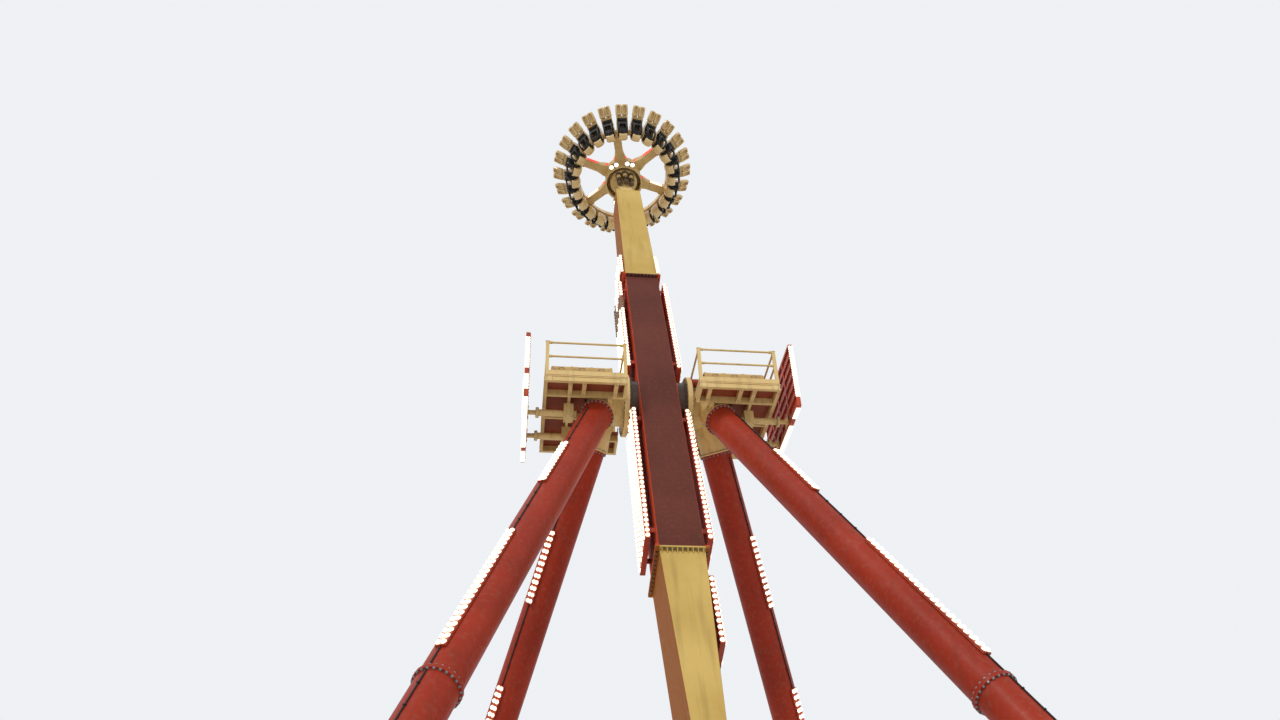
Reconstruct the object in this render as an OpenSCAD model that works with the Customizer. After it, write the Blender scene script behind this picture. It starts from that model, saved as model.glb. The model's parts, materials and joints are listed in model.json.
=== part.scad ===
// Looping pendulum ride: a four-legged stand, a long turning arm with its
// counterweight, and a spinning ring of outward-facing seats at the arm's end.
// Origin on the ground under the main axle, +Z up, the axle along X.

/* [Stand] */
// Height of the main axle over the ground
axle_h = 20000; // [18000:100:22000]
// Half of the distance between the left and right feet
foot_x = 8280; // [7500:10:9000]
// Half of the distance between the front and rear feet
foot_y = 11390; // [10500:10:12500]
// Distance from the arm's centre plane to the crossing of a pair of legs
apex_x = 1450; // [1400:10:1550]
// Height of the crossing of the legs over the axle
apex_rise = 330; // [250:10:400]
// Outer diameter of a leg tube
leg_d = 900; // [800:10:940]
// Length of tower head above a front leg's top flange
head_front_l = 1410; // [1380:10:1480]
// Length of tower head above a rear leg's top flange
head_rear_l = 1710; // [1600:10:1900]
// How far a leg flange stands out from its tube
leg_flange_w = 50; // [30:5:60]
// Thickness of a leg flange
leg_flange_t = 45; // [30:5:60]
// Distance along a leg from its crossing to the joint at mid length
leg_joint_l = 13900; // [13500:50:14700]

/* [Feet] */
// Side of the square ground plate
foot_plate = 1700; // [1500:10:2000]
// Thickness of the ground plate
foot_plate_t = 60; // [40:5:80]
// Side of the square plate under a leg
leg_plate = 1300; // [1250:10:1400]
// Thickness of the plate under a leg
leg_plate_t = 50; // [30:5:70]
// Spacing of the anchor bolts
anchor_pitch = 1480; // [1420:10:1480]
// Diameter of an anchor bolt's hole
anchor_d = 48; // [36:2:60]
// Height of the ribs at a leg's foot
foot_rib_h = 560; // [400:10:700]
// Thickness of the ribs at a leg's foot
foot_rib_t = 40; // [25:5:50]

/* [Axle and bearings] */
// Diameter of the stub axles
axle_d = 500; // [400:10:560]
// Radial running clearance of the stub axles and of the spin pin
axle_gap = 0.1; // [0.05:0.05:0.3]
// Diameter of the boss on the arm's side
boss_d = 1560; // [1400:10:1640]
// Diameter of the fixed bearing ring
bearing_d = 1600; // [1500:10:1700]
// Thickness of the fixed bearing ring
bearing_t = 80; // [60:5:100]
// Running gap between turning and fixed faces
run_gap = 5; // [5:1:8]
// Diameter of the tower head's bolting disc
disc_d = 1900; // [1800:10:1960]
// Thickness of the tower head's bolting disc
disc_t = 140; // [100:5:160]
// Distance from the arm's centre plane to the disc's face
disc_x = 880; // [870:5:900]
// Diameter of the axle housing
housing_d = 1280; // [1200:10:1300]
// Distance from the arm's centre plane to the housing's end
housing_end_x = 2150; // [2100:10:2200]

/* [Platforms] */
// Distance from the arm's centre plane to a platform's inner edge
deck_in_x = 1055; // [1040:5:1080]
// Distance from the arm's centre plane to a platform's outer edge
deck_out_x = 3430; // [3300:10:3550]
// Half of a platform's length along the swing
deck_y = 1855; // [1750:5:2000]
// Height of the platform frame's underside under the axle
frame_drop = 560; // [520:10:600]
// Depth of the frame's beams
beam_h = 200; // [160:10:220]
// Width of the frame's beams
beam_w = 80; // [60:5:100]
// Distance from the axle's plane to the cross beams
cross_y = 1130; // [1120:5:1200]
// Distance from the arm's centre plane to the first short beam
short_beam_x = 1330; // [1280:10:1400]
// Distance from the arm's centre plane to the second short beam
outer_beam_x = 2250; // [2100:10:2400]
// Distance from the arm's centre plane to the long beam
long_beam_x = 2650; // [2600:10:2800]
// Distance from the arm's centre plane to the bracket under the cross beams
bracket_x = 1450; // [1430:5:1480]
// Width of the bracket under the cross beams
bracket_w = 120; // [80:5:130]
// Depth of the bracket under the cross beams
bracket_h = 120; // [80:5:125]
// Thickness of the deck plate
deck_t = 30; // [20:5:40]
// Height of the top rail over the frame's underside
rail_h = 1430; // [1300:10:1500]
// Diameter of a rail
rail_d = 60; // [40:5:70]
// Width of a railing post
post_w = 100; // [60:5:120]
// Thickness of a railing post
post_t = 60; // [40:5:70]
// Height of the toe board
toe_h = 160; // [120:10:200]
// Thickness of the toe board
toe_t = 20; // [12:2:30]

/* [Machine covers] */
// Distance from the arm's centre plane to a cover's inner end
cover_in_x = 1400; // [1350:10:1500]
// Distance from the arm's centre plane to a cover's outer end
cover_out_x = 3240; // [3000:10:3300]
// Half of a cover's width
cover_y = 1000; // [980:5:1040]
// Height of a cover over the deck
cover_h = 1050; // [1030:10:1100]
// Wall of a cover
cover_t = 25; // [15:5:30]
// Radius of a cover's top edges
cover_r = 150; // [80:10:200]
// Diameter of a drive motor
motor_d = 260; // [220:10:280]
// Length of a drive motor from the disc
motor_l = 900; // [700:10:1000]
// Height angle of a drive motor as seen from the axle
motor_angle = 39; // [35:1:41]
// Length of a drive motor's flange
motor_cap_l = 60; // [40:5:80]
// How far a drive motor's flange stands out
motor_cap_w = 15; // [10:1:18]

/* [Lamp panels] */
// Distance from the arm's centre plane to a panel's inner face
panel_x = 3930; // [3850:10:4100]
// Thickness of a panel
panel_t = 60; // [40:5:80]
// Half of a panel's length
panel_y = 1750; // [1500:10:1900]
// Height of a panel's lower edge over the frame's underside
panel_low = -440; // [-500:10:-300]
// Height of a panel
panel_h = 2250; // [2000:10:2400]
// Number of ribs on a panel's back
panel_ribs = 7; // [4:1:9]
// Depth of a panel's ribs
panel_rib_d = 50; // [30:5:60]
// Diameter of a panel's carrier tube
carrier_d = 200; // [160:10:240]
// Distance from the axle's plane to a carrier tube
carrier_y = 600; // [500:10:700]
// Depth of a carrier tube's axis under the platform frame
carrier_drop = 240; // [200:10:280]
// Distance from the arm's centre plane to a carrier's bolted flange
carrier_joint_x = 3600; // [3550:10:3700]
// Length of a carrier's saddle block
saddle_l = 280; // [200:10:320]
// Width of a carrier's saddle block
saddle_w = 380; // [300:10:400]
// Side of the plate that bolts a carrier to its panel
carrier_plate = 300; // [240:10:360]
// Thickness of the plate that bolts a carrier to its panel
carrier_plate_t = 20; // [15:1:30]

/* [Arm] */
// Lean of the arm from the vertical at rest
arm_lean = 18.85; // [0:0.05:30]
// Half length of the arm's middle section
mid_l = 7050; // [6500:10:7500]
// Width of the middle section
mid_w = 1150; // [1100:10:1160]
// Depth of the middle section
mid_d = 1540; // [1400:10:1600]
// Length of the upper section
upper_l = 8050; // [7600:10:8500]
// Width at the upper section's outer end
upper_end_w = 1025; // [950:5:1060]
// Depth at the upper section's outer end
upper_end_d = 1225; // [1100:5:1260]
// Length of the counterweight section
lower_l = 6650; // [6000:10:6900]
// Width at the counterweight's outer end
lower_end_w = 620; // [560:10:800]
// Depth at the counterweight's outer end
lower_end_d = 1720; // [1600:10:1800]
// How far a joint flange stands out
joint_w = 100; // [60:5:110]
// Thickness of a joint flange
joint_t = 45; // [30:5:60]
// Number of gussets across each face of a joint
gussets = 9; // [5:1:11]
// Length of a gusset along the arm
gusset_l = 130; // [90:5:160]
// Thickness of a gusset
gusset_t = 20; // [12:2:26]

/* [Arm lamp boards] */
// Distance from the arm's centre plane to a board's outer face
board_x = 860; // [840:5:865]
// Thickness of a board
board_t = 130; // [80:5:140]
// Depth of a board along the swing
board_d = 1300; // [1200:10:1350]
// Distance from the axle to the upper board's near end
board_up_near = 1250; // [1200:10:1500]
// Distance from the axle to the upper board's far end
board_up_far = 6750; // [6000:10:6900]
// Distance from the axle to the lower board's near end
board_low_near = 950; // [940:10:1200]
// Distance from the axle to the lower board's far end
board_low_far = 6550; // [6000:10:6900]
// Thickness of a board's stand-off bracket
board_bracket_t = 40; // [20:5:60]
// Length of a board's stand-off bracket along the arm
board_bracket_l = 160; // [100:10:200]
// Distance from a board's edge to its brackets
board_bracket_in = 100; // [60:10:150]
// Distance from the arm's centre plane to the outer face of a board beyond the joints
end_board_x = 710; // [700:5:740]
// Thickness of a board beyond the joints
end_board_t = 115; // [80:5:120]
// Depth of a board beyond the joints
end_board_d = 1150; // [1000:10:1180]
// Distance from the axle to the upper section's board
end_board_near = 7650; // [7400:10:7900]
// Length of the upper section's board
end_board_l = 1350; // [1000:10:1600]
// Distance from the axle to the counterweight's board
weight_board_near = 7750; // [7400:10:8000]
// Length of the counterweight's board
weight_board_l = 2100; // [1800:10:2400]

/* [Spin drive] */
// Side of the square neck at the arm's end
neck_w = 560; // [500:10:560]
// Length of the neck
neck_l = 2150; // [2000:10:2250]
// Width of the neck's base plate
neck_base_w = 940; // [900:10:950]
// Depth of the neck's base plate
neck_base_d = 1100; // [1000:10:1100]
// Length of the ribs at the neck's base
neck_rib_l = 480; // [300:10:600]
// Thickness of the ribs at the neck's base
neck_rib_t = 30; // [20:2:40]
// Diameter of the drive's bearing housing
drum_d = 1150; // [1150:10:1250]
// Length of the bearing housing
drum_h = 645; // [600:5:700]
// Diameter of the spin pin
pin_d = 600; // [500:10:700]
// Length of the spin pin
pin_l = 160; // [120:10:200]
// Diameter of a spin motor
spin_motor_d = 190; // [160:5:195]
// Length of a spin motor
spin_motor_l = 900; // [700:10:1100]
// Angle between two spin motors about the spin axis
spin_motor_step = 35; // [34:1:40]

/* [Gondola] */
// Height of the seat ring's middle plane over the hub's lower face
ring_rise = 240; // [210:10:300]
// Inner radius of the seat ring's beam
ring_r = 1950; // [1850:10:2000]
// Radial thickness of the ring's beam
ring_t = 180; // [140:10:200]
// Height of the ring's beam
ring_h = 260; // [200:10:300]
// Number of seat banks
banks = 6; // [6:1:6]
// Seats in a bank
bank_seats = 4; // [4:1:4]
// Angle of the joint between two banks
bank_gap = 0.6; // [0.4:0.1:1.5]
// Diameter of the gondola's hub
hub_d = 1600; // [1500:10:1660]
// Length of the hub's skirt around the spin drive
skirt_l = 700; // [600:10:800]
// Thickness of the hub's skirt
skirt_t = 40; // [25:5:60]
// Width of the lip at the skirt's end
skirt_lip_w = 30; // [20:5:50]
// Height of the lip at the skirt's end
skirt_lip_h = 40; // [25:5:60]
// Chamfer of the hub's far edge
hub_chamfer = 100; // [60:5:110]
// Height of the hub's far end over the spokes' roots
hub_over = 60; // [50:5:100]
// Clearance between the gondola's bolted pieces
bolt_gap = 0.3; // [0.1:0.1:0.8]
// Width of a spoke at the hub
spoke_hub_w = 500; // [440:10:540]
// Length of a spoke's straight root
spoke_root_l = 60; // [40:5:120]
// Distance from the hub over which a spoke narrows
spoke_flare_l = 350; // [250:10:500]
// Width of a spoke at the ring
spoke_w = 340; // [280:10:360]
// Height of a spoke at the hub
spoke_hub_h = 520; // [400:10:600]
// Angle of the first spoke about the spin axis
spoke_first = 257; // [240:1:300]

/* [Seats] */
// Width of a seat shell
seat_w = 500; // [460:10:500]
// Thickness of a seat's side wing
wing_t = 25; // [20:1:35]
// Height of the headrest's top over the ring's middle plane
head_z = 700; // [650:10:750]
// Height of a seat's shoulder over the ring's middle plane
shoulder_z = 480; // [460:5:500]
// Width of the headrest
head_w = 250; // [220:10:280]
// Height of the seat pan's top under the ring's middle plane
pan_z = 230; // [200:10:280]
// Thickness of a seat pad
pad_t = 45; // [30:5:60]
// Radial length of the seat pan
pan_l = 520; // [480:10:560]
// Outer radius of a leg support
calf_r = 85; // [75:1:90]
// Length of a leg support
calf_l = 520; // [460:10:560]
// Tilt of a leg support outwards
calf_tilt = 55; // [45:1:62]
// Width of a restraint's shoulder bar
bar_w = 80; // [60:5:90]
// Distance from a seat's back to the front of its restraint
chest_x = 430; // [400:5:470]

/* [Leg lamp bars] */
// Turn of the lamp bars about a leg towards the front
leg_bar_turn = 58; // [50:1:65]
// Width of a lamp bar on a leg
leg_bar_w = 220; // [160:10:260]
// Thickness of a lamp bar on a leg
leg_bar_t = 60; // [40:5:80]
// Distance along a leg from the crossing to the first bar
leg_bar_start = 4350; // [4200:50:4500]
// Length of the first lamp bar
leg_bar_l = 2200; // [2000:50:2400]
// Length of the other lamp bars
leg_bar_long = 4300; // [4100:50:4400]
// Gap between two lamp bars
leg_bar_gap = 2400; // [2250:50:2500]

/* [Hidden] */
$fn = 48;
eps = 1;

cream = "#e3d7a4";
yellow = "#e2cf86";
red = "#b3362b";
dark_red = "#7d3a30";
steel = "#8d9094";
black = "#1d1d1f";

apex_z = axle_h + apex_rise;
leg_len = norm([foot_x - apex_x, foot_y, apex_z]);
// Turns that lay an upright piece along the right rear leg
leg_ax = asin(foot_y / leg_len);
leg_ay = -atan2(foot_x - apex_x, apex_z);
flange_r = leg_d / 2 + leg_flange_w;
sole_z = foot_plate_t + leg_plate_t;

frame_z = axle_h - frame_drop;
deck_z = frame_z + beam_h;
floor_z = deck_z + deck_t;
rail_z = frame_z + rail_h;
panel_z = frame_z + panel_low;
carrier_z = frame_z - carrier_drop;
deck_hole_x = housing_end_x + 60;
deck_hole_y = cover_y - 70;
inner_gap_y = cross_y - beam_w / 2;

upper_end = mid_l + upper_l;
lower_end = mid_l + lower_l;
drum_start = upper_end + neck_l;
drum_end = drum_start + drum_h;
hub_start = drum_end + run_gap;
ring_s = hub_start + ring_rise;
bank_step = 360 / banks;
seat_step = bank_step / bank_seats;

// Both sides of the stand share one shape, mirrored for the left
module on_side(side) {
    if (side < 0) mirror([1, 0, 0]) children();
    else children();
}

// One end of the stand, mirrored for the front
module on_end(end) {
    if (end < 0) mirror([0, 1, 0]) children();
    else children();
}

// A frame whose -Z runs down the right rear leg from the crossing of the legs
module on_leg() {
    translate([apex_x, 0, apex_z]) rotate([leg_ax, leg_ay, 0]) children();
}

// A cylinder along +X from the given point
module rod_x(at, r, l) {
    translate(at) rotate([0, 90, 0]) cylinder(r = r, h = l);
}

// The arm's own frame: +Z from the axle along the arm, -Y to its front face
module on_arm() {
    translate([0, 0, axle_h]) rotate([-arm_lean, 0, 0]) children();
}

module leg_rib(lean_r, half) {
    top = sole_z + foot_rib_h;
    shift = lean_r * top;
    rotate([90, 0, 0]) translate([0, 0, -foot_rib_t / 2]) linear_extrude(foot_rib_t)
        polygon([[-leg_plate / 2, sole_z - eps], [leg_plate / 2, sole_z - eps],
                 [leg_plate / 2, sole_z + foot_rib_t], [-shift + half, top],
                 [-shift - half, top], [-leg_plate / 2, sole_z + foot_rib_t]]);
}

module leg_shape(head_l) {
    color(red) {
        difference() {
            on_leg() {
                translate([0, 0, -leg_len - leg_d]) cylinder(d = leg_d, h = leg_len + leg_d - head_l);
                translate([0, 0, -head_l - leg_flange_t]) cylinder(r = flange_r, h = leg_flange_t);
                translate([0, 0, -leg_joint_l]) cylinder(r = flange_r, h = 2 * leg_flange_t);
            }
            translate([foot_x - 2 * leg_plate, foot_y - 2 * leg_plate, sole_z - leg_plate_t - 4 * leg_d])
                cube([4 * leg_plate, 4 * leg_plate, 4 * leg_d + leg_plate_t]);
        }
        translate([foot_x - leg_plate / 2, foot_y - leg_plate / 2, foot_plate_t])
            cube([leg_plate, leg_plate, leg_plate_t]);
        translate([foot_x, foot_y, 0]) {
            leg_rib((foot_x - apex_x) / apex_z, leg_d / 2 + foot_rib_t);
            rotate([0, 0, 90]) leg_rib(foot_y / apex_z, leg_d / 2 + foot_rib_t);
        }
    }
}

module foot_shape() {
    color(steel) difference() {
        translate([foot_x - foot_plate / 2, foot_y - foot_plate / 2, 0])
            cube([foot_plate, foot_plate, foot_plate_t]);
        for (ix = [-1, 1], iy = [-1, 1])
            translate([foot_x + ix * anchor_pitch / 2, foot_y + iy * anchor_pitch / 2, -eps])
                cylinder(d = anchor_d, h = foot_plate_t + 2 * eps);
    }
}

module head_stub(head_l) {
    on_leg() {
        translate([0, 0, -head_l]) cylinder(d = leg_d, h = head_l);
        translate([0, 0, -head_l]) cylinder(r = flange_r, h = leg_flange_t);
    }
}

module tower_head_shape() {
    color(cream) difference() {
        union() {
            head_stub(head_rear_l);
            on_end(-1) head_stub(head_front_l);
            rod_x([disc_x, 0, axle_h], disc_d / 2, disc_t);
            rod_x([disc_x, 0, axle_h], housing_d / 2, housing_end_x - disc_x);
            translate([bracket_x, -cross_y - beam_w / 2, frame_z - bracket_h])
                cube([bracket_w, 2 * cross_y + beam_w, bracket_h]);
        }
        rod_x([disc_x - eps, 0, axle_h], axle_d / 2 + axle_gap, housing_end_x - disc_x + 2 * eps);
    }
}

module slew_bearing_shape() {
    color(steel) difference() {
        rod_x([disc_x - bearing_t, 0, axle_h], bearing_d / 2, bearing_t);
        rod_x([disc_x - bearing_t - eps, 0, axle_h], axle_d / 2 + 300, bearing_t + 2 * eps);
    }
}

// A beam of the platform frame between two corners, at the frame's height
module beam(x0, x1, y0, y1) {
    translate([x0, y0, frame_z]) cube([x1 - x0, y1 - y0, beam_h]);
}

module platform_shape() {
    color(cream) {
        for (end = [-1, 1]) on_end(end) {
            beam(deck_in_x, deck_out_x, deck_y - beam_w, deck_y);
            beam(deck_in_x, deck_out_x, cross_y - beam_w / 2, cross_y + beam_w / 2);
            beam(deck_in_x, deck_in_x + beam_w, inner_gap_y, deck_y);
            for (x = [short_beam_x, outer_beam_x]) beam(x, x + beam_w, cross_y, deck_y - eps);
        }
        beam(deck_out_x - beam_w, deck_out_x, -deck_y, deck_y);
        beam(long_beam_x, long_beam_x + beam_w, -deck_y + eps, deck_y - eps);
        beam(housing_end_x, deck_out_x - eps, -beam_w / 2, beam_w / 2);
    }
}

module deck_shape() {
    color(dark_red) difference() {
        translate([deck_in_x, -deck_y, deck_z]) cube([deck_out_x - deck_in_x, 2 * deck_y, deck_t]);
        translate([deck_in_x - eps, -deck_hole_y, deck_z - eps])
            cube([deck_hole_x - deck_in_x + eps, 2 * deck_hole_y, deck_t + 2 * eps]);
    }
}

// Rails along both ends of a platform and along the sides at the places given
module rail_run(z, side_xs) {
    end_y = deck_y - post_t / 2;
    start_x = deck_in_x + post_w / 2;
    for (y = [-end_y, end_y]) rod_x([start_x, y, z], rail_d / 2, deck_out_x - post_w / 2 - start_x);
    for (x = side_xs) translate([x, -end_y, z]) rotate([-90, 0, 0]) cylinder(d = rail_d, h = 2 * end_y);
}

module railing_shape() {
    mid_z = (floor_z + rail_z) / 2 + 90;
    in_x = deck_in_x + post_w / 2;
    out_x = deck_out_x - post_w / 2;
    color(cream) {
        for (x = [deck_in_x, deck_out_x - post_w], y = [-deck_y, deck_y - post_t])
            translate([x, y, floor_z]) cube([post_w, post_t, rail_z - floor_z + rail_d / 2]);
        rail_run(rail_z, [in_x, out_x]);
        rail_run(mid_z, [out_x]);
        difference() {
            translate([deck_in_x, -deck_y, floor_z])
                cube([deck_out_x - deck_in_x, 2 * deck_y, toe_h]);
            translate([deck_in_x + toe_t, -deck_y + toe_t, floor_z - eps])
                cube([deck_out_x - deck_in_x - 2 * toe_t, 2 * (deck_y - toe_t), toe_h + 2 * eps]);
            translate([deck_in_x - eps, -deck_hole_y, floor_z - eps])
                cube([toe_t + 2 * eps, 2 * deck_hole_y, toe_h + 2 * eps]);
        }
    }
}

// A block with its top edges rounded, open to the inner end
module cover_block(out_x, half_y, h, r) {
    intersection() {
        translate([0, 0, floor_z]) rotate([90, 0, 90]) linear_extrude(out_x) union() {
            translate([-half_y, -eps]) square([2 * half_y, h - r + eps]);
            translate([-half_y + r, 0]) square([2 * (half_y - r), h]);
            for (y = [-half_y + r, half_y - r]) translate([y, h - r]) circle(r);
        }
        translate([0, half_y + eps, floor_z]) rotate([90, 0, 0]) linear_extrude(2 * half_y + 2 * eps) union() {
            translate([0, -eps]) square([out_x, h - r + eps]);
            square([out_x - r, h]);
            translate([out_x - r, h - r]) circle(r);
        }
    }
}

module gear_cover_shape() {
    color(cream) difference() {
        cover_block(cover_out_x, cover_y, cover_h, cover_r);
        cover_block(cover_out_x - cover_t, cover_y - cover_t, cover_h - cover_t, cover_r - cover_t);
        translate([-eps, -cover_y - eps, floor_z - 2 * eps])
            cube([cover_in_x + eps, 2 * cover_y + 2 * eps, cover_h + 4 * eps]);
        translate([-eps, -cover_y - eps, floor_z - 2 * eps])
            cube([cover_out_x + 2 * eps, 2 * cover_y + 2 * eps, 2 * eps]);
    }
}

module drive_motors_shape() {
    motor_r = (housing_d + motor_d) / 2 + motor_cap_w + 2 * run_gap;
    motor_y = motor_r * cos(motor_angle);
    motor_z = axle_h + motor_r * sin(motor_angle);
    color(red) for (end = [-1, 1]) on_end(end) {
        rod_x([disc_x + disc_t, motor_y, motor_z], motor_d / 2, motor_l);
        rod_x([disc_x + disc_t, motor_y, motor_z], motor_d / 2 + motor_cap_w, motor_cap_l);
    }
}

module panel_carriers_shape() {
    saddle_x = long_beam_x + (beam_w - saddle_l) / 2;
    tube_x = saddle_x - saddle_l / 3;
    stub_d = carrier_d - 60;
    flange_l = 80;
    plate_x = panel_x - panel_rib_d - carrier_plate_t;
    color(cream) for (end = [-1, 1]) on_end(end) {
        rod_x([tube_x, carrier_y, carrier_z], carrier_d / 2, carrier_joint_x - tube_x);
        rod_x([carrier_joint_x - flange_l / 2, carrier_y, carrier_z], carrier_d / 2 + 60, flange_l);
        rod_x([carrier_joint_x, carrier_y, carrier_z], stub_d / 2, panel_x - panel_rib_d - carrier_joint_x);
        translate([saddle_x, carrier_y - saddle_w / 2, carrier_z - saddle_w / 2])
            cube([saddle_l, saddle_w, frame_z - carrier_z + saddle_w / 2]);
        translate([plate_x, carrier_y - carrier_plate / 2, carrier_z - carrier_plate / 2])
            cube([carrier_plate_t, carrier_plate, carrier_plate]);
    }
}

module lamp_panel_shape() {
    rib_w = 100;
    pitch = (panel_h - rib_w) / (panel_ribs - 1);
    color(red) {
        translate([panel_x, -panel_y, panel_z]) cube([panel_t, 2 * panel_y, panel_h]);
        for (i = [0:panel_ribs - 1])
            translate([panel_x - panel_rib_d, -panel_y, panel_z + i * pitch])
                cube([panel_rib_d + eps, 2 * panel_y, rib_w]);
    }
}

module leg_lamp_bars() {
    seat = 0.3;
    color(red) for (side = [-1, 1], end = [-1, 1]) on_side(side) on_end(end) on_leg() {
        rotate([0, 0, -end * leg_bar_turn]) for (i = [0:2]) {
            l = i == 0 ? leg_bar_l : leg_bar_long;
            start = leg_bar_start + (i == 0 ? 0 : leg_bar_l + leg_bar_gap + (i - 1) * (leg_bar_long + leg_bar_gap));
            translate([leg_d / 2 + seat, -leg_bar_w / 2, -start - l]) cube([leg_bar_t, leg_bar_w, l]);
        }
    }
}

module pivot_hub_shape() {
    hub_x = mid_w / 2;
    face_x = disc_x - bearing_t - run_gap;
    color(steel) on_arm() {
        rod_x([hub_x, 0, 0], boss_d / 2, face_x - hub_x);
        rod_x([hub_x, 0, 0], axle_d / 2, housing_end_x + 80 - hub_x);
    }
}

// A box centred on the arm from z0 to z1, its width and depth changing evenly
module arm_box(z0, z1, w0, w1, d0, d1) {
    intersection() {
        translate([0, max(d0, d1), 0]) rotate([90, 0, 0]) linear_extrude(2 * max(d0, d1))
            polygon([[-w0 / 2, z0], [w0 / 2, z0], [w1 / 2, z1], [-w1 / 2, z1]]);
        translate([-max(w0, w1), 0, 0]) rotate([90, 0, 90]) linear_extrude(2 * max(w0, w1))
            polygon([[-d0 / 2, z0], [d0 / 2, z0], [d1 / 2, z1], [-d1 / 2, z1]]);
    }
}

module joint_plate(z, w, d) {
    translate([-w / 2, -d / 2, z]) cube([w, d, joint_t]);
}

module arm_middle() {
    w = mid_w + 2 * joint_w;
    d = mid_d + 2 * joint_w;
    color(dark_red) on_arm() {
        translate([-mid_w / 2, -mid_d / 2, -mid_l]) cube([mid_w, mid_d, 2 * mid_l]);
        joint_plate(mid_l - joint_t, w, d);
        joint_plate(-mid_l, w, d);
    }
}

// Gussets between a joint flange and the box, on the front and rear faces
module joint_gussets() {
    pitch = mid_w / gussets;
    for (face = [-1, 1], i = [0:gussets - 1]) on_end(face)
        translate([(i - (gussets - 1) / 2) * pitch - gusset_t / 2, 0, mid_l + joint_t - eps])
            rotate([90, 0, 90]) linear_extrude(gusset_t)
                polygon([[mid_d / 2 - joint_t / 2, 0], [mid_d / 2 + joint_w - gusset_t, 0],
                         [mid_d / 2 + gusset_t / 2, gusset_l], [mid_d / 2 - joint_t / 2, gusset_l]]);
}

module arm_upper() {
    color(yellow) on_arm() {
        arm_box(mid_l, upper_end, mid_w, upper_end_w, mid_d, upper_end_d);
        joint_plate(mid_l, mid_w + 2 * joint_w, mid_d + 2 * joint_w);
        joint_gussets();
    }
}

module arm_lower() {
    color(yellow) on_arm() {
        arm_box(-lower_end, -mid_l, lower_end_w, mid_w, lower_end_d, mid_d);
        joint_plate(-mid_l - joint_t, mid_w + 2 * joint_w, mid_d + 2 * joint_w);
        joint_plate(-lower_end, lower_end_w + 60, lower_end_d + 60);
        mirror([0, 0, 1]) joint_gussets();
    }
}

// Half the width of the arm at a distance from the axle, beyond a joint
function half_width(z, end_w, l) = mid_w / 2 - (mid_w - end_w) / 2 * max(0, z - mid_l) / l;

// A lamp board along the arm's side from z0 to z1, with its stand-off brackets
module lamp_board(z0, z1, x, t, d, end_w, l) {
    inner = d / 2 - board_bracket_in;
    inset = 2 * board_bracket_l;
    translate([x - t, -d / 2, z0]) cube([t, d, z1 - z0]);
    for (z = [z0 + inset, z1 - inset - board_bracket_l], y = [-inner, inner - board_bracket_t]) {
        face_x = half_width(z, end_w, l);
        translate([face_x, y, z]) cube([x - t - face_x + eps, board_bracket_t, board_bracket_l]);
    }
}

module arm_lamp_boards_shape(with_weight_board) {
    color(red) on_arm() {
        lamp_board(board_up_near, board_up_far, board_x, board_t, board_d, upper_end_w, upper_l);
        lamp_board(end_board_near, end_board_near + end_board_l, end_board_x, end_board_t, end_board_d,
                   upper_end_w, upper_l);
        mirror([0, 0, 1]) {
            lamp_board(board_low_near, board_low_far, board_x, board_t, board_d, lower_end_w, lower_l);
            if (with_weight_board)
                lamp_board(weight_board_near, weight_board_near + weight_board_l, end_board_x, end_board_t,
                           end_board_d, lower_end_w, lower_l);
        }
    }
}

// A rib that stiffens the neck over its base plate, in the plane of X and the arm
module neck_rib(reach) {
    translate([0, neck_rib_t / 2, upper_end]) rotate([90, 0, 0]) linear_extrude(neck_rib_t)
        polygon([[neck_w / 2 - eps, 0], [reach, 0], [reach, joint_t + neck_rib_t],
                 [neck_w / 2 + neck_rib_t, neck_rib_l], [neck_w / 2 - eps, neck_rib_l]]);
}

module spin_drum() {
    motor_r = (neck_w + spin_motor_d) / 2 + 95;
    rib_y = neck_w / 3;
    color(steel) on_arm() {
        joint_plate(upper_end, neck_base_w, neck_base_d);
        translate([-neck_w / 2, -neck_w / 2, upper_end]) cube([neck_w, neck_w, neck_l + eps]);
        for (y = [-rib_y, rib_y]) {
            for (turn = [0, 180]) rotate([0, 0, turn]) translate([0, y, 0]) neck_rib(neck_base_w / 2 - neck_rib_t);
            for (turn = [90, 270]) rotate([0, 0, turn]) translate([0, y, 0]) neck_rib(neck_base_d / 2 - neck_rib_t);
        }
        difference() {
            translate([0, 0, drum_start]) cylinder(d = drum_d, h = drum_h);
            translate([0, 0, drum_end - pin_l - run_gap]) cylinder(r = pin_d / 2 + axle_gap, h = pin_l + 2 * run_gap);
        }
        for (i = [-1, 0, 1]) rotate([0, 0, i * spin_motor_step - 90])
            translate([motor_r, 0, drum_start - spin_motor_l]) cylinder(d = spin_motor_d, h = spin_motor_l + eps);
    }
}

module gondola_hub() {
    rim = hub_start - skirt_l;
    hub_r = hub_d / 2;
    hub_end = ring_s + spoke_hub_h / 2 + hub_over;
    color(cream) on_arm() {
        rotate_extrude() polygon([
            [0, hub_start], [hub_r - skirt_t, hub_start], [hub_r - skirt_t, rim], [hub_r + skirt_lip_w, rim],
            [hub_r + skirt_lip_w, rim + skirt_lip_h], [hub_r, rim + skirt_lip_h],
            [hub_r, hub_end - hub_chamfer], [hub_r - hub_chamfer, hub_end], [0, hub_end]]);
        translate([0, 0, hub_start - pin_l]) cylinder(d = pin_d, h = pin_l + eps);
    }
}

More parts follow.
